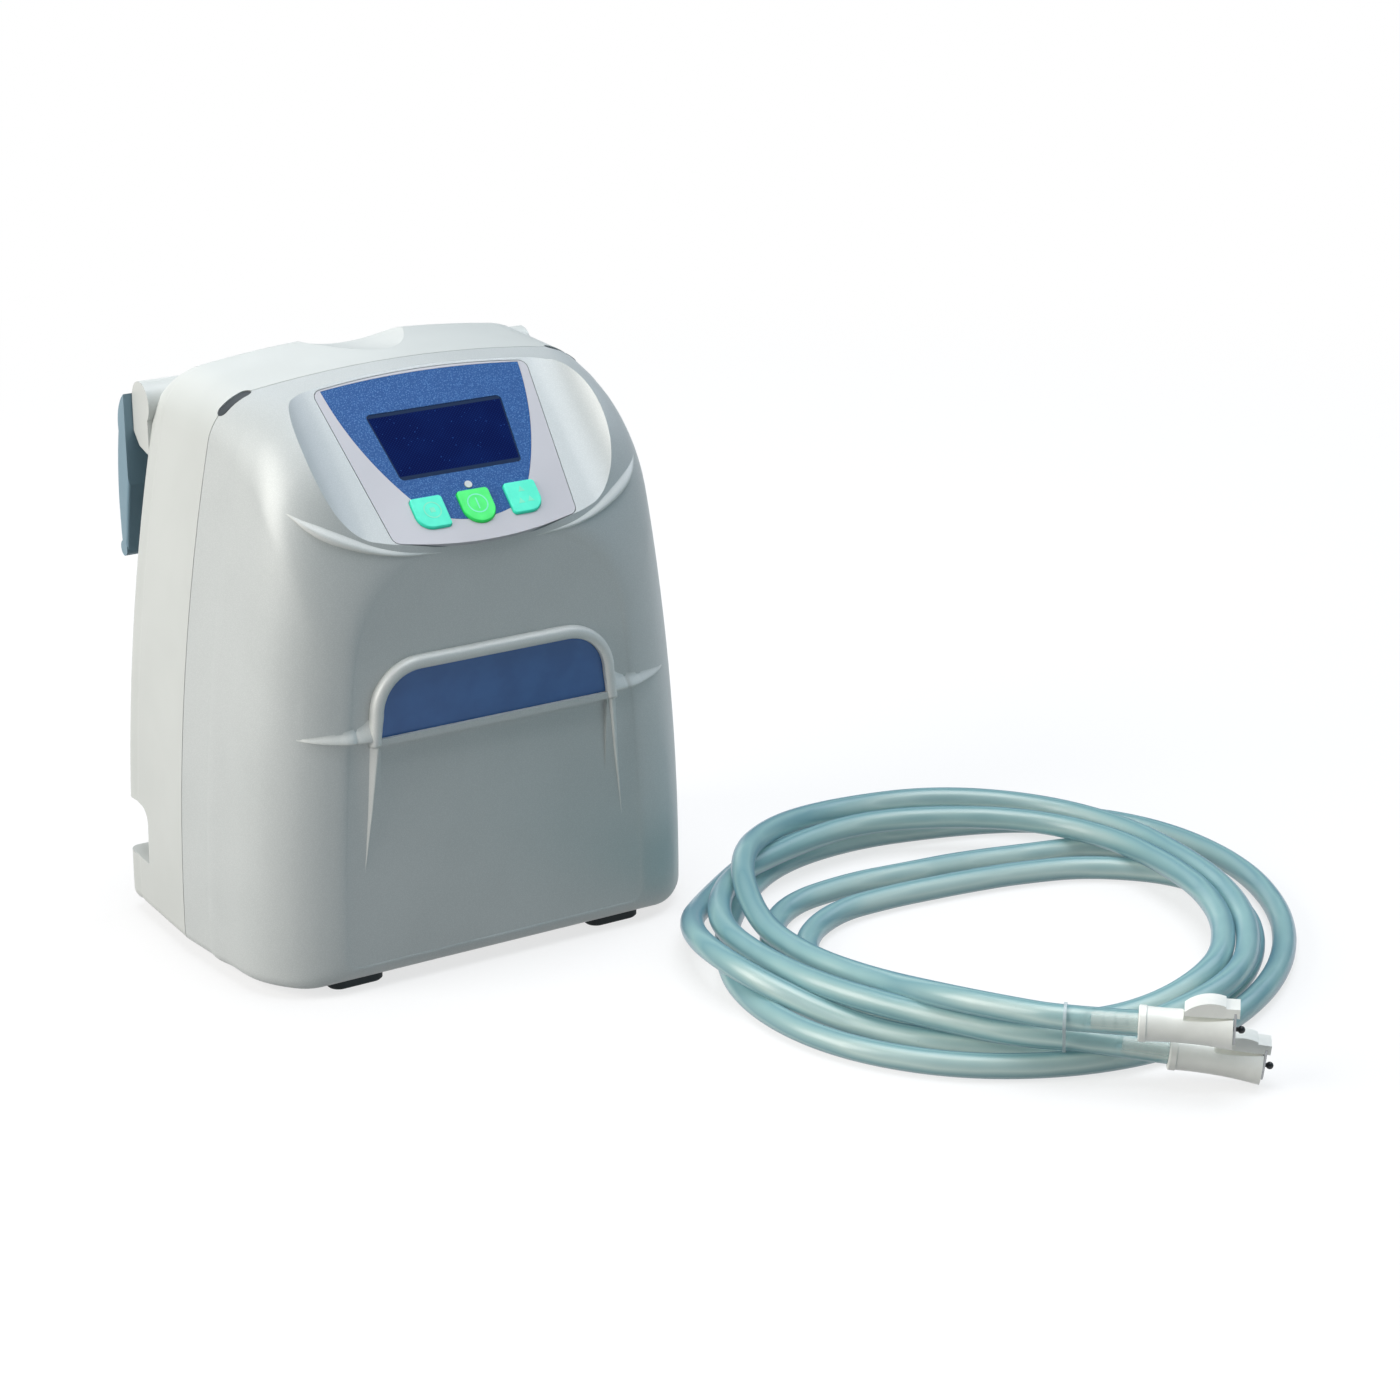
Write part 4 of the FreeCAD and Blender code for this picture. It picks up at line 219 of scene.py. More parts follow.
class Shader(Tree):
    """One material's node tree, ending in a Principled surface."""

    def __init__(self, name: str) -> None:
        """Starts a material with its surface and output.

        Args:
            name: The material's name.
        """
        self.material = bpy.data.materials.new(name)
        self.material.use_nodes = True
        super().__init__(self.material.node_tree)
        self.surface = self.node("ShaderNodeBsdfPrincipled")
        self.output = self.node("ShaderNodeOutputMaterial",
                                values={"Surface": self.surface.outputs[0]})

    def set(self, **values: Any) -> "Shader":
        """Sets or links inputs of the Principled surface.

        Args:
            values: What the inputs get, by name, with underscores for spaces.

        Returns:
            The shader.
        """
        for key, value in values.items():
            self.feed(self.surface.inputs[key.replace("_", " ")], value)
        return self

    def place(self) -> bpy.types.NodeSocket:
        """The point on the object in metres."""
        return self.node("ShaderNodeTexCoord").outputs["Object"]

    def apart(self, point: Triple) -> Value:
        """The distance to a point.

        Args:
            point: The point in metres.

        Returns:
            The distance in metres.
        """
        far = self.node("ShaderNodeVectorMath", {"operation": "DISTANCE"},
                        {0: self.place(), 1: point})
        return Value(self, far.outputs[1])

    def noise(self, size: float, detail: float = 2.0, roughness: float = 0.5,
              stretch: Triple = (1.0, 1.0, 1.0)) -> Value:
        """Cloudy noise.

        Args:
            size: Size of a cloud in millimetres.
            detail: Octaves.
            roughness: Weight of the finer octaves.
            stretch: Factor on each axis of the pattern.

        Returns:
            The noise around one half.
        """
        scaled = self.node("ShaderNodeVectorMath", {"operation": "MULTIPLY"},
                           {0: self.place(), 1: stretch})
        values = {"Vector": scaled.outputs[0], "Scale": 1 / (size * MM), "Detail": detail,
                  "Roughness": roughness}
        return Value(self, self.node("ShaderNodeTexNoise", values=values).outputs[0])

    def cells(self, size: float) -> Value:
        """The distance to the nearest of many scattered points.

        Args:
            size: The size of a cell round a point in millimetres.

        Returns:
            The distance, 0 at a point.
        """
        values = {"Vector": self.place(), "Scale": 1 / (size * MM)}
        made = self.node("ShaderNodeTexVoronoi", {"feature": "F1"}, values)
        return Value(self, made.outputs[0])

    def blend(self, mask: Value, first: Any, second: Any) -> bpy.types.NodeSocket:
        """A colour between two.

        Args:
            mask: 0 for the first colour, 1 for the second.
            first: A colour or socket.
            second: A colour or socket.

        Returns:
            The mixed colour's socket.
        """
        mixed = self.node("ShaderNodeMix", {"data_type": "RGBA"}, {0: mask, 6: first, 7: second})
        return mixed.outputs[2]

    def bump(self, height: Value, depth: float) -> bpy.types.NodeSocket:
        """A bumped normal.

        Args:
            height: The relief from 0 to 1.
            depth: Its depth in millimetres.

        Returns:
            The normal's socket.
        """
        values = {"Height": height, "Distance": depth * MM, "Strength": 1.0}
        return self.node("ShaderNodeBump", values=values).outputs[0]


@dataclass(frozen=True)
class Moulding:
    """Moulded plastic: a base colour with faint mottling, fine grain and a little wear of gloss.
    Where a glow is given, emission brightens the part as painted light. Sizes are in millimetres."""

    name: str
    colour: Colour
    tint: Colour
    mottle: float = 30.0
    grain: float = 0.35
    depth: float = 0.01
    roughness: float = 0.4
    spread: float = 0.08
    metallic: float = 0.0
    coat: float = 0.0
    coat_roughness: float = 0.12
    painted_glow: float = 0.0

    def material(self) -> bpy.types.Material:
        """Makes the material.

        Returns:
            The material with its nodes.
        """
        shader = Shader(self.name)
        cloud = shader.noise(self.mottle, 3.0)
        grain = shader.noise(self.grain, 2.0, 0.6)
        colour = shader.blend(cloud.above(0.3, 0.7), self.colour, self.tint)
        gloss = self.roughness + (cloud - 0.5) * self.spread + (grain - 0.5) * self.spread
        shader.set(Base_Color=colour, Metallic=self.metallic, Coat_Weight=self.coat,
                   Roughness=gloss, Normal=shader.bump(grain, self.depth))
        if self.coat:
            shader.set(Coat_Roughness=self.coat_roughness)
        # Emission from a part that is no lamp: painted light.
        if self.painted_glow:
            shader.set(Emission_Color=colour, Emission_Strength=self.painted_glow)
        return shader.material


@dataclass(frozen=True)
class PearlPaint:
    """Soft pearl paint: a warm silver with fine flakes and a thin clear coat."""

    name: str = "pearl_paint"
    colour: Colour = shade(191, 196, 195)
    flake: Colour = shade(218, 222, 221)
    metallic: float = 0.15
    roughness: float = 0.48
    coat: float = 0.12
    coat_roughness: float = 0.3
    cloud_size: float = 45.0
    flake_size: float = 0.45
    grain_size: float = 0.3
    depth: float = 0.006

    def material(self) -> bpy.types.Material:
        """Makes the material.

        Returns:
            The material with its nodes.
        """
        shader = Shader(self.name)
        cloud = shader.noise(self.cloud_size)
        flakes = shader.cells(self.flake_size)
        grain = shader.noise(self.grain_size, 2.0, 0.6)
        mask = (1 - flakes.above(0.1, 0.6)) * 0.35 + cloud.above(0.3, 0.7) * 0.15
        gloss = self.roughness + (cloud - 0.5) * 0.05 + (grain - 0.5) * 0.06
        shader.set(Base_Color=shader.blend(mask, self.colour, self.flake), Metallic=self.metallic,
                   Roughness=gloss, Coat_Weight=self.coat, Coat_Roughness=self.coat_roughness,
                   Normal=shader.bump(grain, self.depth))
        return shader.material


@dataclass(frozen=True)
class OverlayFilm:
    """Printed blue film with a fine metallic sparkle."""

    name: str = "overlay_film"
    colour: Colour = shade(8, 76, 140)
    sparkle: Colour = shade(86, 140, 196)
    spot_size: float = 0.7
    grain_size: float = 0.6
    roughness: float = 0.42
    specular: float = 0.25
    depth: float = 0.008

    def material(self) -> bpy.types.Material:
        """Makes the material.

        Returns:
            The material with its nodes.
        """
        shader = Shader(self.name)
        spots = shader.cells(self.spot_size)
        grain = shader.noise(self.grain_size, 3.0, 0.7)
        mask = (1 - spots.above(0.1, 0.45)) * 0.6 + grain.above(0.45, 0.7) * 0.2
        shader.set(Base_Color=shader.blend(mask, self.colour, self.sparkle), Metallic=mask * 0.5,
                   Roughness=self.roughness - mask * 0.12, Specular_IOR_Level=self.specular,
                   Normal=shader.bump(grain, self.depth))
        return shader.material


@dataclass(frozen=True)
class DisplayGlass:
    """Dark display window: a navy field of faint dots inside a paler rim. Places are on the slope's
    axes, in millimetres."""

    name: str = "display_glass"
    field_blue: Colour = shade(2, 18, 72)
    dot_blue: Colour = shade(12, 42, 104)
    lit_blue: Colour = shade(50, 96, 180)
    rim: Colour = shade(38, 54, 82)
    lit_pitch: float = 2.2
    pitch: float = 1.3
    low: float = 28.4
    high: float = 55.4
    half: float = 25.2
    spread: float = 0.108
    edge: float = 0.3
    haze_size: float = 14.0
    roughness: float = 0.45
    specular: float = 0.02

    def material(self) -> bpy.types.Material:
        """Makes the material.

        Returns:
            The material with its nodes.
        """
        shader = Shader(self.name)
        across, along = Slope().axes_of(shader)
        wave = 2 * math.pi / self.pitch
        dots = (across * wave).sine() * (along * wave).sine()
        lit = 1 - shader.cells(self.lit_pitch).above(0.05, 0.12)
        beside = self.half + (along - self.low) * self.spread - abs(across)
        inside = (along - self.low).above(-self.edge, self.edge)
        inside = inside * (self.high - along).above(-self.edge, self.edge)
        inside = inside * beside.above(-self.edge, self.edge)
        haze = shader.noise(self.haze_size)
        faint = dots.above(0.1, 0.6) * 0.6 + haze.above(0.4, 0.8) * 0.2
        blue = shader.blend(faint, self.field_blue, self.dot_blue)
        blue = shader.blend(lit * 0.7, blue, self.lit_blue)
        shader.set(Base_Color=shader.blend(inside, self.rim, blue),
                   Roughness=self.roughness + (haze - 0.5) * 0.05,
                   Specular_IOR_Level=self.specular)
        return shader.material


@dataclass(frozen=True)
class Metal:
    """Metal with fine brushing along one axis."""

    name: str
    colour: Colour
    tint: Colour
    roughness: float = 0.35
    metallic: float = 0.9
    brush_size: float = 0.8
    stretch: Triple = (1.0, 6.0, 1.0)
    depth: float = 0.006

    def material(self) -> bpy.types.Material:
        """Makes the material.

        Returns:
            The material with its nodes.
        """
        shader = Shader(self.name)
        brush = shader.noise(self.brush_size, 3.0, 0.6, self.stretch)
        shader.set(Base_Color=shader.blend(brush, self.colour, self.tint), Metallic=self.metallic,
                   Roughness=self.roughness + (brush - 0.5) * 0.15,
                   Normal=shader.bump(brush, self.depth))
        return shader.material


@dataclass(frozen=True)
class CircuitBoard:
    """Solder resist with pale copper tracks under it."""

    name: str = "circuit_board"
    resist: Colour = shade(32, 92, 62)
    track: Colour = shade(66, 128, 88)
    track_size: float = 5.0
    grain_size: float = 0.6
    depth: float = 0.03

    def material(self) -> bpy.types.Material:
        """Makes the material.

        Returns:
            The material with its nodes.
        """
        shader = Shader(self.name)
        tracks = shader.cells(self.track_size).above(0.45, 0.5)
        grain = shader.noise(self.grain_size)
        shader.set(Base_Color=shader.blend(tracks * 0.7, self.resist, self.track),
                   Roughness=0.4 + (grain - 0.5) * 0.1, Normal=shader.bump(tracks, self.depth))
        return shader.material


@dataclass(frozen=True)
class HosePlastic:
    """Milky blue-green vinyl, clearer over the barbs of the couplings. Its colour follows how
    squarely
    the surface faces the view: a painted highlight band down the middle of a hose and painted shade
    towards its edges, which stands for the longer path through the wall seen edge on. A faint glow
    is painted light that lifts the shade between the strands."""

    name: str = "hose_vinyl"
    # Colours across a hose by how edge-on it is seen: the pale stop at 0.12 is a painted highlight
    # band, the dark stops towards 1.0 are painted shade at the edges.
    across: tuple[tuple[float, Colour], ...] = (
        (0.0, shade(154, 186, 186)), (0.12, shade(188, 211, 206)), (0.28, shade(150, 186, 186)),
        (0.46, shade(120, 162, 169)), (0.58, shade(144, 182, 183)), (0.78, shade(107, 149, 162)),
        (1.0, shade(88, 126, 147)))
    ends: tuple[Triple, Triple] = ((136.3, -285.7, 27.0), (151.3, -285.5, 12.5))
    reach: float = 14.0
    roughness: float = 0.3
    coat: float = 0.25
    coat_roughness: float = 0.22
    # Emission of the ramp's colour from a hose that is no lamp: painted light.
    painted_glow: float = 0.12

    def material(self) -> bpy.types.Material:
        """Makes the material.

        Returns:
            The material with its nodes.
        """
        shader = Shader(self.name)
        weight = shader.node("ShaderNodeLayerWeight", values={"Blend": 0.5})
        facing = Value(shader, weight.outputs["Facing"])
        cloud = shader.noise(40.0)
        haze = shader.noise(2.5)
        # Facing plus a faint cloud picks the ramp's colour: painted highlight and painted shade by
        # how edge-on the hose is seen.
        painted_sheen_and_shade = facing + (cloud - 0.5) * 0.35
        ramp = shader.node("ShaderNodeValToRGB", {"stops": self.across}, {0: painted_sheen_and_shade})
        clear = self._near(shader, self.ends[0]).largest(self._near(shader, self.ends[1]))
        cover = 0.8 + facing * 0.2 - clear * (1 - facing) * 0.45
        shader.set(Base_Color=ramp.outputs[0], Roughness=self.roughness + (haze - 0.5) * 0.1,
                   Alpha=cover, Emission_Color=ramp.outputs[0], Emission_Strength=self.painted_glow,
                   Coat_Weight=self.coat, Coat_Roughness=self.coat_roughness)
        return shader.material

    def _near(self, shader: Shader, end: Triple) -> Value:
        """A mask of the stretch over a coupling's barbs.

        Args:
            shader: The hoses' shader.
            end: The middle of the stretch in millimetres.

        Returns:
            1 near the place and 0 away from it.
        """
        away = shader.apart(tuple(part * MM for part in end)) / MM
        return 1 - away.above(self.reach * 0.6, self.reach)


@dataclass(frozen=True)
class ClearBand:
    """Thin clear plastic of the tie."""

    name: str = "clear_band"
    colour: Colour = shade(222, 232, 234)
    tint: Colour = shade(208, 224, 228)

    def material(self) -> bpy.types.Material:
        """Makes the material.

        Returns:
            The material with its nodes.
        """
        shader = Shader(self.name)
        haze = shader.noise(2.0)
        shader.set(Base_Color=shader.blend(haze, self.colour, self.tint), Alpha=0.5 + haze * 0.2,
                   Roughness=0.2 + (haze - 0.5) * 0.1)
        return shader.material


@dataclass(frozen=True)
class Slope:
    """The sloping panel's own axes: across, along the slope and out of it, in millimetres."""

    start_y: float = -71.55
    start_z: float = 176.4
    tilt: float = 41.75

    def axes_of(self, shader: Shader) -> tuple[Value, Value]:
        """The places across and along the slope.

        Args:
            shader: The shader that uses them.

        Returns:
            Both as values in millimetres.
        """
        turn = math.radians(self.tilt)
        origin = (0.0, self.start_y * MM, self.start_z * MM)
        local = shader.node("ShaderNodeVectorMath", {"operation": "SUBTRACT"},
                            {0: shader.place(), 1: origin})
        axes = []
        for axis in ((1.0, 0.0, 0.0), (0.0, math.cos(turn), math.sin(turn))):
            dot = shader.node("ShaderNodeVectorMath", {"operation": "DOT_PRODUCT"},
                              {0: local.outputs[0], 1: axis})
            axes.append(Value(shader, dot.outputs[1]) / MM)
        return axes[0], axes[1]

    def point(self, across: float, along: float, out: float) -> Vector:
        """A point of the slope.

        Args:
            across: Its place across, in millimetres.
            along: Its place up the slope, in millimetres.
            out: Its height over the slope, in millimetres.

        Returns:
            The point in metres.
        """
        turn = math.radians(self.tilt)
        y = self.start_y + along * math.cos(turn) - out * math.sin(turn)
        z = self.start_z + along * math.sin(turn) + out * math.cos(turn)
        return Vector((across, y, z)) * MM


@dataclass(frozen=True)
class Finishes:
    """Every finish of the pump, by the node that wears it."""

    def plastics(self) -> dict[str, bpy.types.Material]:
        """Makes the mouldings seen on the outside.

        Returns:
            The material of each node.
        """
        rear = Moulding("rear_plastic", shade(205, 209, 206), shade(200, 204, 201),
                        mottle=50, grain=0.5, depth=0.01, roughness=0.42)
        white = Moulding("panel_plastic", shade(196, 195, 200), shade(191, 190, 195),
                         mottle=40, grain=0.4, depth=0.006, roughness=0.34, coat=0.1)
        badge = Moulding("badge_film", shade(54, 94, 148), shade(60, 102, 158),
                         mottle=12, grain=0.35, depth=0.006, roughness=0.32, metallic=0.2)
        plug = Moulding("plug_rubber", shade(62, 68, 72), shade(54, 60, 64),
                        mottle=10, grain=0.5, depth=0.02, roughness=0.6)
        foot = Moulding("foot_rubber", shade(50, 58, 61), shade(42, 48, 51),
                        mottle=12, grain=0.6, depth=0.03, roughness=0.7)
        hook = Moulding("hook_plastic", shade(124, 153, 167), shade(116, 146, 161),
                        mottle=40, grain=0.5, depth=0.012, roughness=0.42)
        port = Moulding("port_plastic", shade(216, 216, 210), shade(208, 208, 202),
                        mottle=15, grain=0.4, depth=0.008, roughness=0.4)
        inlet = Moulding("inlet_plastic", shade(30, 31, 33), shade(24, 25, 27),
                         mottle=15, grain=0.4, depth=0.01, roughness=0.45)
        # The couplings' glow is painted light that brightens them.
        coupling = Moulding("acetal", shade(238, 239, 233), shade(230, 231, 225),
                            mottle=8, grain=0.5, depth=0.012, roughness=0.36, coat=0.15, painted_glow=0.09)
        valve = Moulding("valve_plastic", shade(46, 48, 52), shade(38, 40, 44),
                         mottle=3, grain=0.3, depth=0.01, roughness=0.4)
        lens = Moulding("lens_plastic", shade(196, 202, 200), shade(186, 194, 192),
                        mottle=2, grain=0.3, depth=0.004, roughness=0.15, coat=0.5)
        # The keys' glow is painted light that brightens them.
        teal = Moulding("key_teal", shade(68, 228, 194), shade(60, 220, 186),
                        mottle=5, grain=0.3, depth=0.01, roughness=0.4, painted_glow=0.2)
        green = Moulding("key_green", shade(54, 230, 108), shade(46, 222, 100),
                         mottle=5, grain=0.3, depth=0.01, roughness=0.4, painted_glow=0.2)
        plain = {"rear_shell": rear, "control_bezel": white, "badge_plate": badge, "bed_hook": hook,
                 "mains_inlet": inlet, "status_lens": lens, "key_left": teal,
                 "key_centre": green, "key_right": teal}
        feet = ("foot_front_left", "foot_front_right", "foot_rear_left", "foot_rear_right")
        groups = ((("seam_plug_left", "seam_plug_right"), plug),
                  (("outlet_port_left", "outlet_port_right"), port),
                  (feet, foot),
                  (("coupling_upper", "coupling_lower", "latch_upper", "latch_lower",
                    "hose_tip_left", "hose_tip_right"), coupling),
                  (("valve_pin_upper", "valve_pin_lower"), valve))
        return self._made(plain, groups)

    def insides(self) -> dict[str, bpy.types.Material]:
        """Makes the finishes inside the housing and of the small metal pieces.

        Returns:
            The material of each node.
        """
        steel = Metal("steel", shade(176, 178, 180), shade(150, 152, 155))
        brass = Metal("brass", shade(204, 170, 98), shade(180, 146, 80))
        can = Metal("motor_can", shade(160, 162, 164), shade(140, 142, 145), 0.3)
        sheet = Metal("bracket_zinc", shade(170, 174, 178), shade(146, 150, 155), 0.4)
        head = Moulding("head_plastic", shade(58, 60, 64), shade(50, 52, 56),
                        mottle=20, grain=0.5, depth=0.015, roughness=0.5)
        module = Moulding("module_plastic", shade(40, 42, 46), shade(34, 36, 40),
                          mottle=20, grain=0.5, depth=0.01, roughness=0.5)
        wrap = Moulding("battery_film", shade(52, 96, 150), shade(46, 88, 142),
                        mottle=20, grain=0.5, depth=0.01, roughness=0.3, coat=0.3)
        block = Moulding("manifold_plastic", shade(206, 204, 196), shade(198, 196, 188),
                         mottle=20, grain=0.5, depth=0.01, roughness=0.45)
        line = Moulding("line_silicone", shade(214, 220, 220), shade(204, 212, 213),
                        mottle=12, grain=0.4, depth=0.008, roughness=0.35)
        board = CircuitBoard()
        inner = {"display_module": module, "buzzer": module, "battery_pack": wrap,
                 "compressor_bracket": sheet, "compressor_motor": can,
                 "compressor_wheel": steel, "compressor_head": head,
                 "valve_manifold": block, "inlet_pins": brass}
        groups = ((("main_board", "power_supply", "keypad_board"), board),
                  (("hook_pin_left", "hook_pin_right", "housing_screws", "board_screws",
                    "latch_plate_upper", "latch_plate_lower"), steel),
                  (("air_line_left", "air_line_right", "air_line_feed"), line))
        return self._made(inner, groups)

    @staticmethod
    def _made(finishes: dict[str, Any],
              groups: Sequence[tuple[Sequence[str], Any]]) -> dict[str, bpy.types.Material]:
        """Makes each finish once, however many nodes wear it.

        Args:
            finishes: The finish of each node that is named alone.
            groups: Nodes that share a finish, and the finish.

        Returns:
            The material of each node.
        """
        finishes = finishes | {name: finish for names, finish in groups for name in names}
        made: dict[int, bpy.types.Material] = {}
        for finish in finishes.values():
            if id(finish) not in made:
                made[id(finish)] = finish.material()
        return {name: made[id(finish)] for name, finish in finishes.items()}

    def dress(self) -> bpy.types.Material:
        """Dresses every node.

        Returns:
            The hoses' material, for the curves that stand for them.
        """
        hose = HosePlastic().material()
        worn = self.plastics() | self.insides()
        worn |= {"front_shell": PearlPaint().material(), "panel_overlay": OverlayFilm().material(),
                 "display_window": DisplayGlass().material(), "hose_tie": ClearBand().material(),
                 "hose_coil": hose, "hose_end_upper": hose, "hose_end_lower": hose}
        for name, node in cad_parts.items():
            if name not in worn:
                raise KeyError(f"{name} has no finish")
            for slot in node.material_slots:
                slot.material = worn[name]
        LOG.info("dressed %d nodes", len(worn))
        return hose


# ---------------------------------------------------------------- meshes
def piece_of(name: str, bm: bmesh.types.BMesh, finish: bpy.types.Material) -> bpy.types.Object:
    """Turns finished geometry into a piece of the scene.

    Args:
        name: The piece's name.
        bm: Its geometry, freed here.
        finish: Its material.

    Returns:
        The piece.
    """
    mesh = bpy.data.meshes.new(name)
    bm.to_mesh(mesh)
    bm.free()
    mesh.materials.append(finish)
    piece = bpy.data.objects.new(name, mesh)
    bpy.context.scene.collection.objects.link(piece)
    return piece


def ride(piece: bpy.types.Object, body: Body) -> bpy.types.Object:
    """Lets a finished piece move with its body.

    Args:
        piece: The piece.
        body: The body it rides on.

    Returns:
        The piece.
    """
    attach(piece, body.value)
    LOG.info("%s rides on %s", piece.name, body.value)
    return piece


@dataclass
class KeyMarks:
    """Faint generic marks on the three keys: a square in a ring, a ring with a bar, and three
    triangles. Places are on the slope's axes, in millimetres."""

    slope: Slope = field(default_factory=Slope)
    foot: float = 1.15
    thick: float = 0.12
    line: float = 0.5
    steps: int = 40
    left_place: Pair = (-18.9, 11.6)
    left_ring: float = 3.6
    left_square: Pair = (1.0, 1.0)
    centre_place: Pair = (-0.1, 11.2)
    centre_ring: float = 4.2
    centre_bar: Pair = (0.25, 2.4)
    triangles: Sequence[Pair] = ((19.4, 14.2), (17.6, 9.2), (21.6, 9.4))
    triangle: Pair = (1.3, 1.2)

    def _circle(self, centre: Pair, radius: float) -> list[Pair]:
        """Places round a circle on the slope.

        Args:
            centre: The circle's middle.
            radius: Its radius.

        Returns:
            The places.
        """
        turns = [2 * math.pi * index / self.steps for index in range(self.steps)]
        return [(centre[0] + radius * math.cos(turn), centre[1] + radius * math.sin(turn))
                for turn in turns]

    def _prism(self, bm: bmesh.types.BMesh, outline: Sequence[Pair]) -> None:
        """Adds a thin closed plate.

        Args:
            bm: Where it is added.
            outline: The plate's corners.
        """
        low = [bm.verts.new(self.slope.point(x, y, self.foot)) for x, y in outline]
        high = [bm.verts.new(self.slope.point(x, y, self.foot + self.thick)) for x, y in outline]
        bm.faces.new(high)
        bm.faces.new(list(reversed(low)))
        for index in range(len(outline)):
            after = (index + 1) % len(outline)
            bm.faces.new((low[index], low[after], high[after], high[index]))

    def _ring(self, bm: bmesh.types.BMesh, centre: Pair, radius: float) -> None:
        """Adds a thin ring.

        Args:
            bm: Where it is added.
            centre: Its middle.
            radius: Its outer radius.
        """
        loops = []
        inner = radius - self.line
        for reach, out in ((radius, 0.0), (radius, self.thick), (inner, self.thick), (inner, 0.0)):
            loops.append([bm.verts.new(self.slope.point(x, y, self.foot + out))
                          for x, y in self._circle(centre, reach)])
        for first, second in zip(loops, loops[1:] + loops[:1]):
            for index in range(self.steps):
                after = (index + 1) % self.steps
                bm.faces.new((first[index], first[after], second[after], second[index]))

    def _bar(self, bm: bmesh.types.BMesh, centre: Pair, half: Pair) -> None:
        """Adds a small rectangle round its middle."""
        self._prism(bm, [(centre[0] + i * half[0], centre[1] + j * half[1]) for i, j in
                         ((-1, -1), (1, -1), (1, 1), (-1, 1))])

    def build(self, finish: bpy.types.Material) -> None:
        """Builds the three marks and lets each ride on its key.

        Args:
            finish: The marks' material.
        """
        keys = (("left", Body.KEY_LEFT), ("centre", Body.KEY_CENTRE), ("right", Body.KEY_RIGHT))
        for name, body in keys:
            bm = bmesh.new()
            if body is Body.KEY_LEFT:
                self._ring(bm, self.left_place, self.left_ring)
                self._bar(bm, self.left_place, self.left_square)
            elif body is Body.KEY_CENTRE:
                self._ring(bm, self.centre_place, self.centre_ring)
                self._bar(bm, self.centre_place, self.centre_bar)
            else:
                half, rise = self.triangle
                for x, y in self.triangles:
                    self._prism(bm, [(x - half, y - rise), (x + half, y - rise), (x, y + rise)])
            bmesh.ops.recalc_face_normals(bm, faces=bm.faces)
            ride(piece_of("key_mark_" + name, bm, finish), body)


@dataclass(frozen=True)
class Station:
    """One cross-section of a ridge: its place, its reach up and down, and its height, all in
    millimetres."""

    x: float
    z: float
    up: float
    down: float
    height: float

    def parts(self) -> tuple[float, ...]:
        """The numbers as a tuple."""
        return self.x, self.z, self.up, self.down, self.height


@dataclass
class Ridge:
    """A soft ridge that lies on the front shell: its upper face slopes up to a crest by its lower
    edge. An upright ridge has its sections across instead, with the crest by its inner edge."""

    name: str
    stations: Sequence[Station]
    rows: int = 48
    columns: int = 10
    crest: float = 0.25
    sink: float = 0.15
    bridge: float = 0.0
    probe: float = 6.0
    upright: bool = False

    def _between(self, share: float) -> list[float]:
        """A smooth cross-section between the stations.

        Args:
            share: The share of the way along, from 0 to 1.

        Returns:
            The place, reaches and height there.
        """
        last = len(self.stations) - 1
        index = min(int(share * last), last - 1)
        rest = share * last - index
        near = [self.stations[max(0, min(last, index + step))].parts() for step in (-1, 0, 1, 2)]
        values = []
        for before, first, second, after in zip(*near):
            pull, push = (second - before) / 2, (after - first) / 2
            values.append((2 * rest**3 - 3 * rest**2 + 1) * first
                          + (rest**3 - 2 * rest**2 + rest) * pull
                          + (3 * rest**2 - 2 * rest**3) * second
                          + (rest**3 - rest**2) * push)
        return values

    def _profile(self, across: float) -> float:
        """The shape of the ridge's section.

        Args:
            across: The share of the way from the lower to the upper edge.

        Returns:
            The share of the height there.
        """
        if across < self.crest:
            return math.sin(math.pi / 2 * across / self.crest)
        return 0.5 + 0.5 * math.cos(math.pi * (across - self.crest) / (1 - self.crest))

    def _depth(self, ground: BVHTree, x: float, z: float) -> float:
        """The depth of the shell's face, carried on from above where the ridge bridges small forms.

        Args:
            ground: The shell.
            x: The place across in millimetres.
            z: The height in millimetres.

        Returns:
            The face's y in metres.
        """
        start = z + self.bridge
        levels = (start, start + self.probe) if self.bridge else (z,)
        hits = [ground.ray_cast(Vector((x * MM, -1.0, level * MM)), Vector((0, 1, 0)))[0].y
                for level in levels]
        return hits[0] - (hits[-1] - hits[0]) * self.bridge / self.probe

    def build(self, finish: bpy.types.Material, ground: BVHTree, side: int) -> bpy.types.Object:
        """Builds the ridge.

        Args:
            finish: Its material.
            ground: The shape that it lies on.
            side: 1 for the right, -1 for the left.

        Returns:
            The ridge.
        """
        bm = bmesh.new()
        grid = []
        for row in range(self.rows + 1):
            x, z, up, down, height = self._between(row / self.rows)
            line = []
            for column in range(self.columns + 1):
                across = column / self.columns
                reach = across * (up + down) - down
                out, level = (x + reach, z) if self.upright else (x, z + reach)
                lift = (height * self._profile(across) - self.sink) * MM
                depth = self._depth(ground, side * out, level) - lift
                line.append(bm.verts.new((side * out * MM, depth, level * MM)))
            grid.append(line)
        for first, second in zip(grid, grid[1:]):
            for column in range(self.columns):
                bm.faces.new((first[column], second[column], second[column + 1], first[column + 1]))
        bmesh.ops.recalc_face_normals(bm, faces=bm.faces)
        for face in bm.faces:
            face.smooth = True
            if face.normal.y > 0:
                face.normal_flip()
        return ride(piece_of(self.name, bm, finish), Body.PUMP)


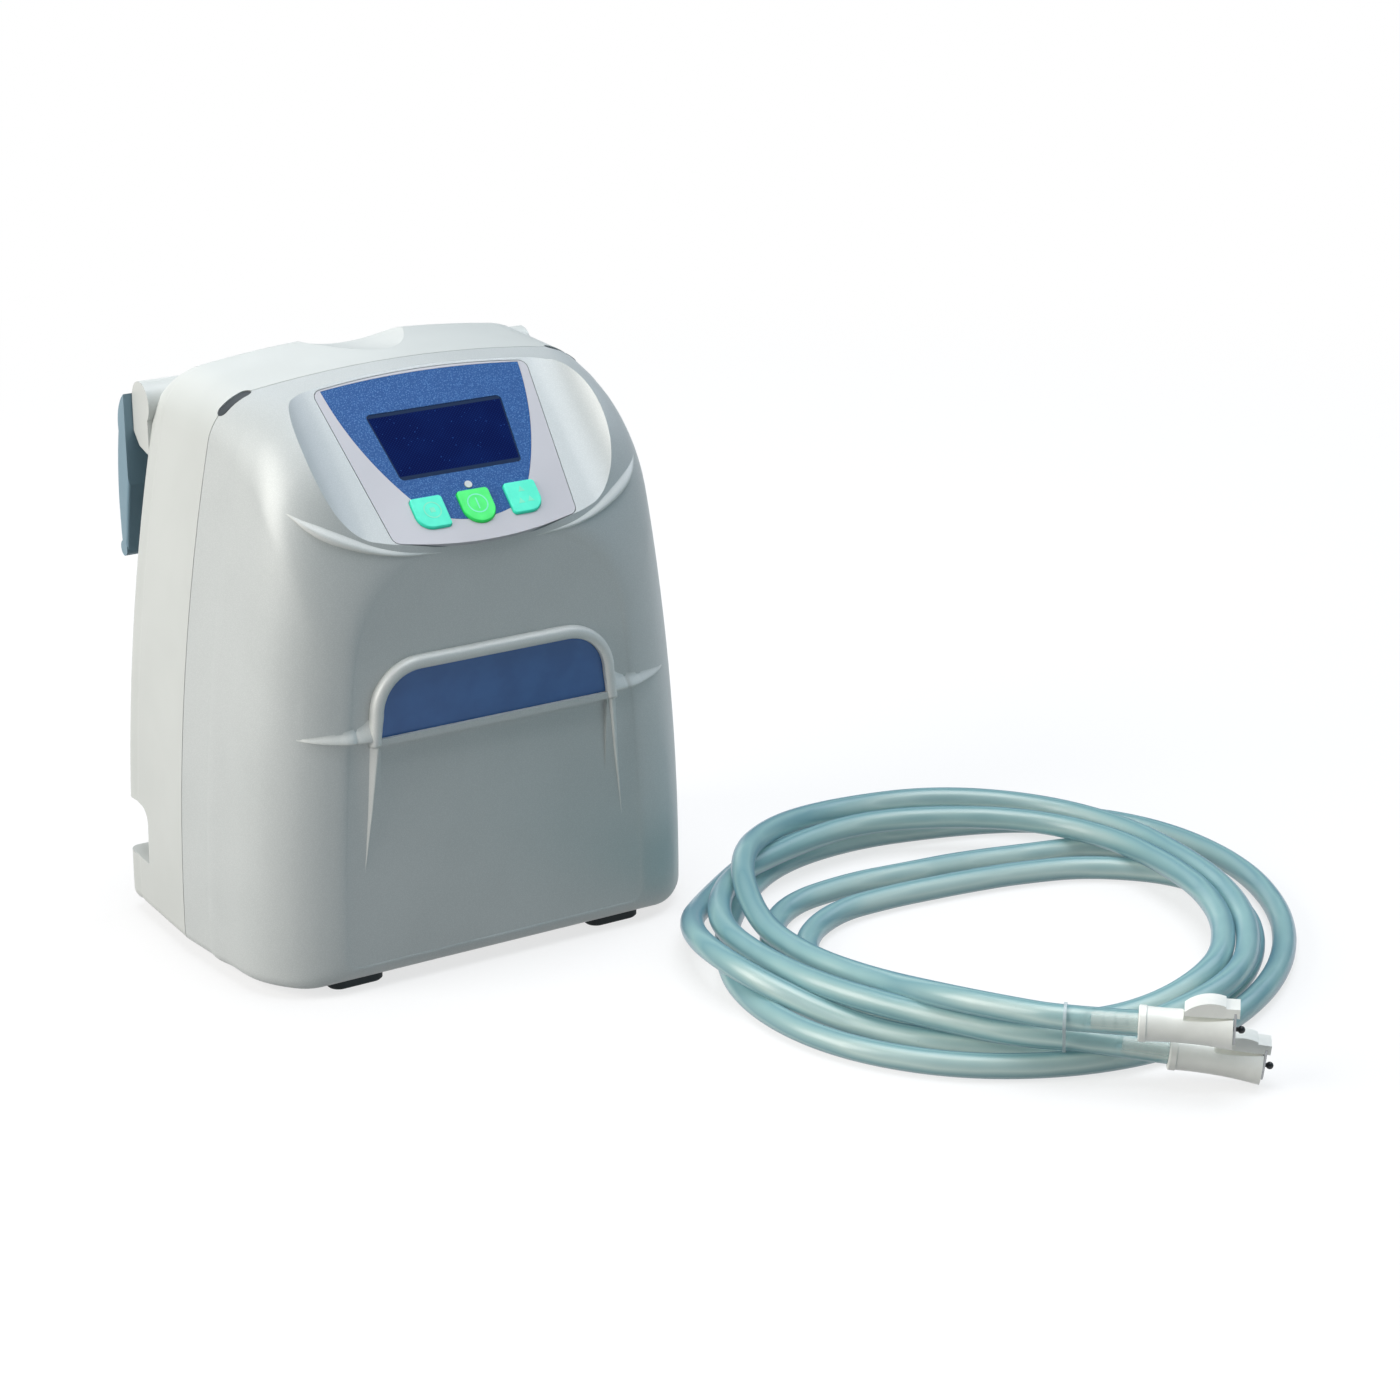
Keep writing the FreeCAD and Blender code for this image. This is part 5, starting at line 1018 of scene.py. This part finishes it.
@dataclass
class TrimBead:
    """The rounded bead of the badge's arch. Its section is offsets from the badge's edge and
    heights over the face, in millimetres."""

    base: float = 100.6
    top: float = 128.2
    half: float = 48.8
    corner: float = 16.0
    lean: float = 1.3
    face_y: float = -72.35
    section: Sequence[Pair] = (
        (4.7, -0.4), (4.7, 1.4), (4.55, 2.4), (4.1, 3.2), (3.4, 3.75), (2.4, 4.0), (1.4, 3.9),
        (0.6, 3.5), (0.15, 2.9), (0.1, 1.2))
    steps: int = 14

    def path(self, grow: float) -> list[Pair]:
        """The arch from its right foot over the top to its left foot.

        Args:
            grow: How far it is grown outwards from the badge's edge.

        Returns:
            Its points in x and z.
        """
        half, top, corner = self.half + grow, self.top + grow, self.corner + grow
        flat = half - self.lean - corner
        rise = top - corner - self.base
        right = [(half - self.lean * index / self.steps, self.base + rise * index / self.steps)
                 for index in range(self.steps)]
        for index in range(self.steps + 1):
            turn = math.pi / 2 * index / self.steps
            right.append((flat + corner * math.cos(turn), top - corner + corner * math.sin(turn)))
        right += [(flat * (1 - index / self.steps), top) for index in range(1, self.steps)]
        return right + [(0.0, top)] + [(-x, z) for x, z in reversed(right)]

    def build(self, finish: bpy.types.Material) -> bpy.types.Object:
        """Builds the bead.

        Args:
            finish: The lighter copy of the shell's paint, a painted highlight.

        Returns:
            The bead.
        """
        bm = bmesh.new()
        lines = []
        for grow, out in self.section:
            depth = (self.face_y - out) * MM
            lines.append([bm.verts.new((x * MM, depth, z * MM)) for x, z in self.path(grow)])
        for first, second in zip(lines, lines[1:] + lines[:1]):
            for index in range(len(first) - 1):
                bm.faces.new((first[index], first[index + 1], second[index + 1], second[index]))
        bm.faces.new([line[0] for line in lines])
        bm.faces.new([line[-1] for line in reversed(lines)])
        bmesh.ops.recalc_face_normals(bm, faces=bm.faces)
        for face in bm.faces:
            face.smooth = len(face.verts) == 4
        return ride(piece_of("badge_trim_bead", bm, finish), Body.PUMP)


@dataclass(frozen=True)
class EvenShell:
    """The front shell with even shading: only its real edges stay sharp."""

    sharp: float = 24.0
    joined: float = 0.002
    evenness: int = 75

    def build(self, finish: bpy.types.Material) -> bpy.types.Object:
        """Builds the shell that is seen.

        Args:
            finish: The shell's paint.

        Returns:
            The shell.
        """
        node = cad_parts["front_shell"]
        bm = bmesh.new()
        bm.from_mesh(node.data)
        bm.transform(node.matrix_world)
        bmesh.ops.remove_doubles(bm, verts=bm.verts, dist=self.joined * MM)
        for face in bm.faces:
            face.smooth = True
            face.material_index = 0
        for edge in bm.edges:
            bend = edge.calc_face_angle(0.0)
            edge.smooth = len(edge.link_faces) == 2 and bend < math.radians(self.sharp)
        shell = piece_of("front_shell_even", bm, finish)
        even = shell.modifiers.new("even", "WEIGHTED_NORMAL")
        even.keep_sharp = True
        even.weight = self.evenness
        ride(shell, Body.PUMP)
        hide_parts("front_shell")
        return shell


@dataclass
class FrontRidges:
    """The wings and legs that run out of the badge's trim, and the crescents under the panel. They
    and the badge's bead wear a lighter copy of the shell's paint as a painted highlight.
    """

    wing: Sequence[Station] = (
        Station(52.0, 102.9, 9.5, 1.0, 3.6), Station(56.0, 103.2, 6.2, 1.0, 3.0),
        Station(61.0, 103.7, 4.4, 1.0, 2.3), Station(67.0, 104.3, 3.1, 0.9, 1.6),
        Station(73.0, 104.9, 1.8, 0.7, 1.0), Station(79.0, 105.6, 0.4, 0.3, 0.1))
    leg: Sequence[Station] = (
        Station(50.4, 100.8, 3.2, 0.9, 1.8), Station(51.8, 88.0, 2.3, 0.8, 1.4),
        Station(53.3, 74.0, 1.5, 0.6, 1.0), Station(54.8, 62.0, 0.8, 0.4, 0.6),
        Station(56.4, 48.0, 0.2, 0.2, 0.1))
    crescent: Sequence[Station] = (
        Station(18.0, 170.8, 0.4, 0.3, 0.1), Station(34.0, 172.4, 1.4, 0.7, 0.6),
        Station(46.0, 174.6, 2.8, 0.9, 1.1), Station(55.8, 177.6, 4.6, 1.0, 1.6),
        Station(63.6, 181.0, 5.0, 1.0, 1.7), Station(69.0, 184.8, 3.4, 0.9, 1.2),
        Station(74.0, 190.0, 0.5, 0.4, 0.1))

    def build(self, finish: bpy.types.Material) -> None:
        """Builds the ridges on both sides.

        Args:
            finish: The shell's paint.
        """
        # A lighter copy of the shell's paint for the bead, wings, legs and crescents: a painted
        # highlight for the light these ridges catch.
        trim = PearlPaint("pearl_painted_highlight", shade(214, 217, 214), shade(232, 234, 231)).material()
        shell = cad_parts["front_shell"]
        points = [shell.matrix_world @ vertex.co for vertex in shell.data.vertices]
        faces = [tuple(face.vertices) for face in shell.data.polygons]
        ground = BVHTree.FromPolygons(points, faces)
        for side, word in ((-1, "left"), (1, "right")):
            ridges = (Ridge("badge_wing_" + word, self.wing, bridge=16.0, crest=0.1),
                      Ridge("brow_crescent_" + word, self.crescent),
                      Ridge("badge_leg_" + word, self.leg, crest=0.2, upright=True))
            for ridge in ridges:
                ridge.build(trim, ground, side)
        TrimBead().build(trim)
        EvenShell().build(finish)
        LOG.info("laid 6 ridges and the badge's bead on the front shell")


# ---------------------------------------------------------------- studio
@dataclass(frozen=True)
class Lamp:
    """One soft square lamp: its place and aim in metres, its side in metres and power in watts."""

    name: str
    place: Triple
    aim: Triple
    size: float
    power: float
    colour: Triple = (1.0, 1.0, 1.0)

    def hang(self) -> None:
        """Hangs the lamp and turns it to its aim."""
        data = bpy.data.lights.new(self.name, "AREA")
        data.color = self.colour
        data.shape = "SQUARE"
        data.size = self.size
        data.energy = self.power
        lamp = bpy.data.objects.new(self.name, data)
        bpy.context.scene.collection.objects.link(lamp)
        lamp.location = self.place
        lamp.rotation_mode = "QUATERNION"
        toward = Vector(self.place) - Vector(self.aim)
        lamp.rotation_quaternion = toward.to_track_quat("Z", "Y")
        LOG.info("lamp %s hangs at %s", self.name, self.place)


@dataclass
class Studio:
    """Pale floor, soft lamps and the camera. Lengths are in metres, angles in degrees."""

    target: Triple = (0.0964, -0.06585, 0.0876)
    azimuth: float = 31.41
    elevation: float = 20.54
    distance: float = 1.354
    lens: float = 87.40
    sensor: float = 36.0
    clip: Pair = (0.05, 50.0)
    floor_half: float = 6.0
    paper: tuple[Colour, Colour] = (shade(140, 140, 140), shade(144, 144, 144))
    floor_glow: float = 0.72
    middle: Triple = (0.1, -0.1, 0.0)
    fade: Pair = (0.45, 1.1)
    sky: Colour = (0.56, 0.88, 1.0, 1.0)
    sky_level: float = 0.11
    lamps: Sequence[Lamp] = (
        Lamp("key_left", (-1.6, 0.1, 0.9), (0.0, 0.0, 0.12), 1.2, 31.0, (1.0, 0.95, 0.9)),
        Lamp("top", (0.22, -0.08, 1.9), (0.1, -0.05, 0.1), 1.4, 27.0, (0.93, 0.95, 1.0)),
        Lamp("fill_right", (1.2, -1.2, 0.8), (0.05, 0.0, 0.1), 1.2, 2.6, (0.45, 0.82, 1.0)),
        Lamp("rim_right", (1.6, 0.1, 1.5), (0.05, 0.0, 0.15), 1.2, 9.0, (0.86, 0.88, 1.0)),
        Lamp("back", (0.2, 1.9, 0.9), (0.05, 0.0, 0.12), 1.4, 6.0))

    def camera(self) -> None:
        """Makes the camera and makes it current."""
        turn = math.radians(self.azimuth)
        tilt = math.radians(self.elevation)
        level = math.cos(tilt)
        back = Vector((-math.sin(turn) * level, -math.cos(turn) * level, math.sin(tilt)))
        data = bpy.data.cameras.new("view")
        data.lens = self.lens
        data.sensor_width = self.sensor
        data.clip_start, data.clip_end = self.clip
        data.dof.use_dof = False
        camera = bpy.data.objects.new("view", data)
        bpy.context.scene.collection.objects.link(camera)
        camera.location = Vector(self.target) + back * self.distance
        camera.rotation_mode = "QUATERNION"
        camera.rotation_quaternion = back.to_track_quat("Z", "Y")
        bpy.context.scene.camera = camera

    def seen_white(self, shader: Shader) -> None:
        """Whitens the floor where the camera, gloss or clear matter looks at it, and not as a lamp.

        Args:
            shader: The floor's shader.
        """
        lit = shader.surface.outputs[0]
        away = shader.apart(self.middle).above(*self.fade)
        path = shader.node("ShaderNodeLightPath")
        seen = Value(shader, path.outputs["Is Camera Ray"])
        for ray in ("Is Glossy Ray", "Is Transmission Ray"):
            seen = seen.largest(Value(shader, path.outputs[ray]))
        light = shader.node("ShaderNodeEmission",
                            values={"Color": WHITE, "Strength": self.floor_glow})
        both = shader.node("ShaderNodeAddShader", values={0: lit, 1: light.outputs[0]})
        white = shader.node("ShaderNodeEmission", values={"Color": WHITE, "Strength": 1.0})
        near = shader.node("ShaderNodeMixShader",
                           values={0: away, 1: both.outputs[0], 2: white.outputs[0]})
        mixed = shader.node("ShaderNodeMixShader", values={0: seen, 1: lit, 2: near.outputs[0]})
        shader.feed(shader.output.inputs["Surface"], mixed.outputs[0])

    def floor(self) -> None:
        """Lays the pale floor."""
        half = self.floor_half
        mesh = bpy.data.meshes.new("floor")
        corners = [(-half, -half, 0), (half, -half, 0), (half, half, 0), (-half, half, 0)]
        mesh.from_pydata(corners, [], [(0, 1, 2, 3)])
        floor = bpy.data.objects.new("floor", mesh)
        bpy.context.scene.collection.objects.link(floor)
        shader = Shader("floor_paper")
        fibre = shader.noise(2.0, 3.0)
        shader.set(Base_Color=shader.blend(fibre, *self.paper), Roughness=0.9,
                   Specular_IOR_Level=0.02)
        self.seen_white(shader)
        mesh.materials.append(shader.material)
        LOG.info("floor laid, %g m wide", 2 * half)

    def world(self) -> None:
        """Sets the surroundings: white to the camera, a dim cool sky to everything else."""
        world = bpy.data.worlds.new("studio")
        world.use_nodes = True
        bpy.context.scene.world = world
        tree = Tree(world.node_tree)
        path = tree.node("ShaderNodeLightPath")
        light = tree.node("ShaderNodeBackground",
                          values={"Color": self.sky, "Strength": self.sky_level})
        white = tree.node("ShaderNodeBackground", values={"Color": WHITE, "Strength": 1.0})
        mixed = tree.node("ShaderNodeMixShader", values={
            0: path.outputs["Is Camera Ray"], 1: light.outputs[0], 2: white.outputs[0]})
        tree.node("ShaderNodeOutputWorld", values={"Surface": mixed.outputs[0]})

    def build(self) -> None:
        """Sets the whole studio up."""
        bpy.context.scene.view_settings.view_transform = "Standard"
        self.camera()
        self.floor()
        self.world()
        for lamp in self.lamps:
            lamp.hang()


# ---------------------------------------------------------------- hoses
REST = 4.85               # centre of a hose on the floor, in millimetres
OVER = 14.3               # centre of a hose that lies on another


@dataclass
class HoseLine:
    """One hose: the lead from its coupling, its turns as a radius and a height every 22.5 degrees,
    and the run into its tip, in millimetres."""

    name: str
    lead: Sequence[Triple]
    turns: Sequence[Pair]
    tail: Sequence[Triple]
    length: float
    stands_for: Sequence[str]
    pieces: Sequence[str]
    first_bearing: float = 202.5
    centre: Pair = (178.0, -158.0)
    step: float = -22.5
    radius: float = 4.75
    order: int = 3
    fineness: int = 12
    roundness: int = 8

    def points(self) -> list[Vector]:
        """Works out the control points of the hose's line.

        Returns:
            The points in metres, from the coupling to the tip.
        """
        points = [Vector(point) for point in self.lead]
        swell = 4 / (3 + math.cos(math.radians(self.step)))
        for index, (reach, height) in enumerate(self.turns):
            bearing = math.radians(self.first_bearing + self.step * index)
            points.append(Vector((self.centre[0] + swell * reach * math.cos(bearing),
                                  self.centre[1] + swell * reach * math.sin(bearing), height)))
        points += [Vector(point) for point in self.tail]
        return [point * MM for point in points]

    def curve(self) -> bpy.types.Object:
        """Draws the hose's line with its round section.

        Returns:
            The curve object.
        """
        data = bpy.data.curves.new(self.name, "CURVE")
        data.dimensions = "3D"
        data.bevel_depth = self.radius * MM
        data.bevel_resolution = self.roundness
        data.use_fill_caps = True
        data.resolution_u = self.fineness
        spline = data.splines.new("NURBS")
        points = self.points()
        spline.points.add(len(points) - 1)
        for knot, point in zip(spline.points, points):
            knot.co = (*point, 1.0)
        spline.order_u = self.order
        spline.use_endpoint_u = True
        hose = bpy.data.objects.new(self.name, data)
        bpy.context.scene.collection.objects.link(hose)
        return hose

    def build(self, finish: bpy.types.Material) -> bpy.types.Object:
        """Args:
            finish: The hose's material.

        Returns:
            The hose.
        """
        hose = self.curve()
        hose.data.materials.append(finish)
        ride(hose, Body.PUMP)
        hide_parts(*self.stands_for)
        start = self.points()[0]
        LOG.info("%s laid, %.0f mm long", self.name, self.length)
        return hose


UPPER_HOSE = HoseLine(
    name="upper_hose",
    lead=[(142.7, -291.0, 27.0), (122.2, -273.9, 27.0), (112.0, -257.5, 26.2),
          (99.2, -234.6, 25.2)],
    turns=[(89, 16.5), (89.5, 14.4), (95, 14.6), (104, 24.5), (107, 21.5), (115, 14.4),
           (114, OVER), (107, OVER), (99, OVER), (92.5, OVER), (93.5, OVER), (98, OVER),
           (106.5, OVER), (111, 13.5), (110, 5.2),
           (106.8, REST), (106, REST), (121, 17.2), (123, 13.5), (115.5, REST), (116, REST),
           (117, REST), (118, REST), (121, REST), (125, REST), (121, REST), (115, REST),
           (112, REST), (113, REST), (118.5, REST), (121, REST), (123.5, REST), (123.5, REST),
           (118, REST), (108, REST), (104, REST), (105.5, REST), (103.5, REST), (103, REST)],
    tail=[(250.0, -73.0, REST), (268.0, -88.5, REST), (276.0, -103.5, REST)],
    length=1847.0,
    stands_for=("hose_coil", "hose_end_upper"),
    pieces=("coupling_upper", "latch_upper", "latch_plate_upper", "valve_pin_upper",
            "hose_tip_right"),
)
LOWER_HOSE = HoseLine(
    name="lower_hose",
    lead=[(157.8, -290.65, 11.7), (138.5, -275.4, 14.0), (130.0, -269.2, 15.3),
          (118.5, -260.0, 15.3), (107.5, -245.5, 14.8)],
    turns=[(104, 15.8), (105, 15.0), (111, 14.2), (108.5, 14.2), (100, 13.6), (98, 14.2),
           (92, OVER), (89.5, OVER), (86, OVER), (82.5, OVER), (84, OVER), (88.5, OVER),
           (96, 13.8), (94, 7.2), (89.5, REST), (87.5, REST), (86.5, REST), (84, REST),
           (77, REST), (64, REST), (49.5, REST), (44, REST), (45.5, REST), (54.5, REST),
           (75, REST), (97.5, REST), (101, REST), (100.5, REST), (102, REST), (103.8, REST),
           (100, REST), (97, REST), (96.5, REST), (94, REST), (91, REST), (85, REST),
           (70, REST), (61.5, REST), (64, REST)],
    tail=[(237.0, -106.5, REST), (266.0, -113.5, REST), (275.0, -126.0, REST)],
    length=1518.0,
    stands_for=("hose_end_lower",),
    pieces=("coupling_lower", "latch_lower", "latch_plate_lower", "valve_pin_lower",
            "hose_tip_left"),
)


def main() -> None:
    """Builds the scene in order."""
    logging.basicConfig(level=logging.INFO, format="%(name)s: %(message)s")
    Studio().build()
    hose = Finishes().dress()
    # The marks' glow is painted light that brightens them.
    mark = Moulding("key_print", shade(118, 226, 190), shade(110, 218, 182),
                    mottle=4, grain=0.3, depth=0.004, roughness=0.45, painted_glow=0.14)
    KeyMarks().build(mark.material())
    FrontRidges().build(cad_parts["front_shell"].material_slots[0].material)
    for line in (UPPER_HOSE, LOWER_HOSE):
        line.build(hose)


if __name__ == "__main__":
    main()
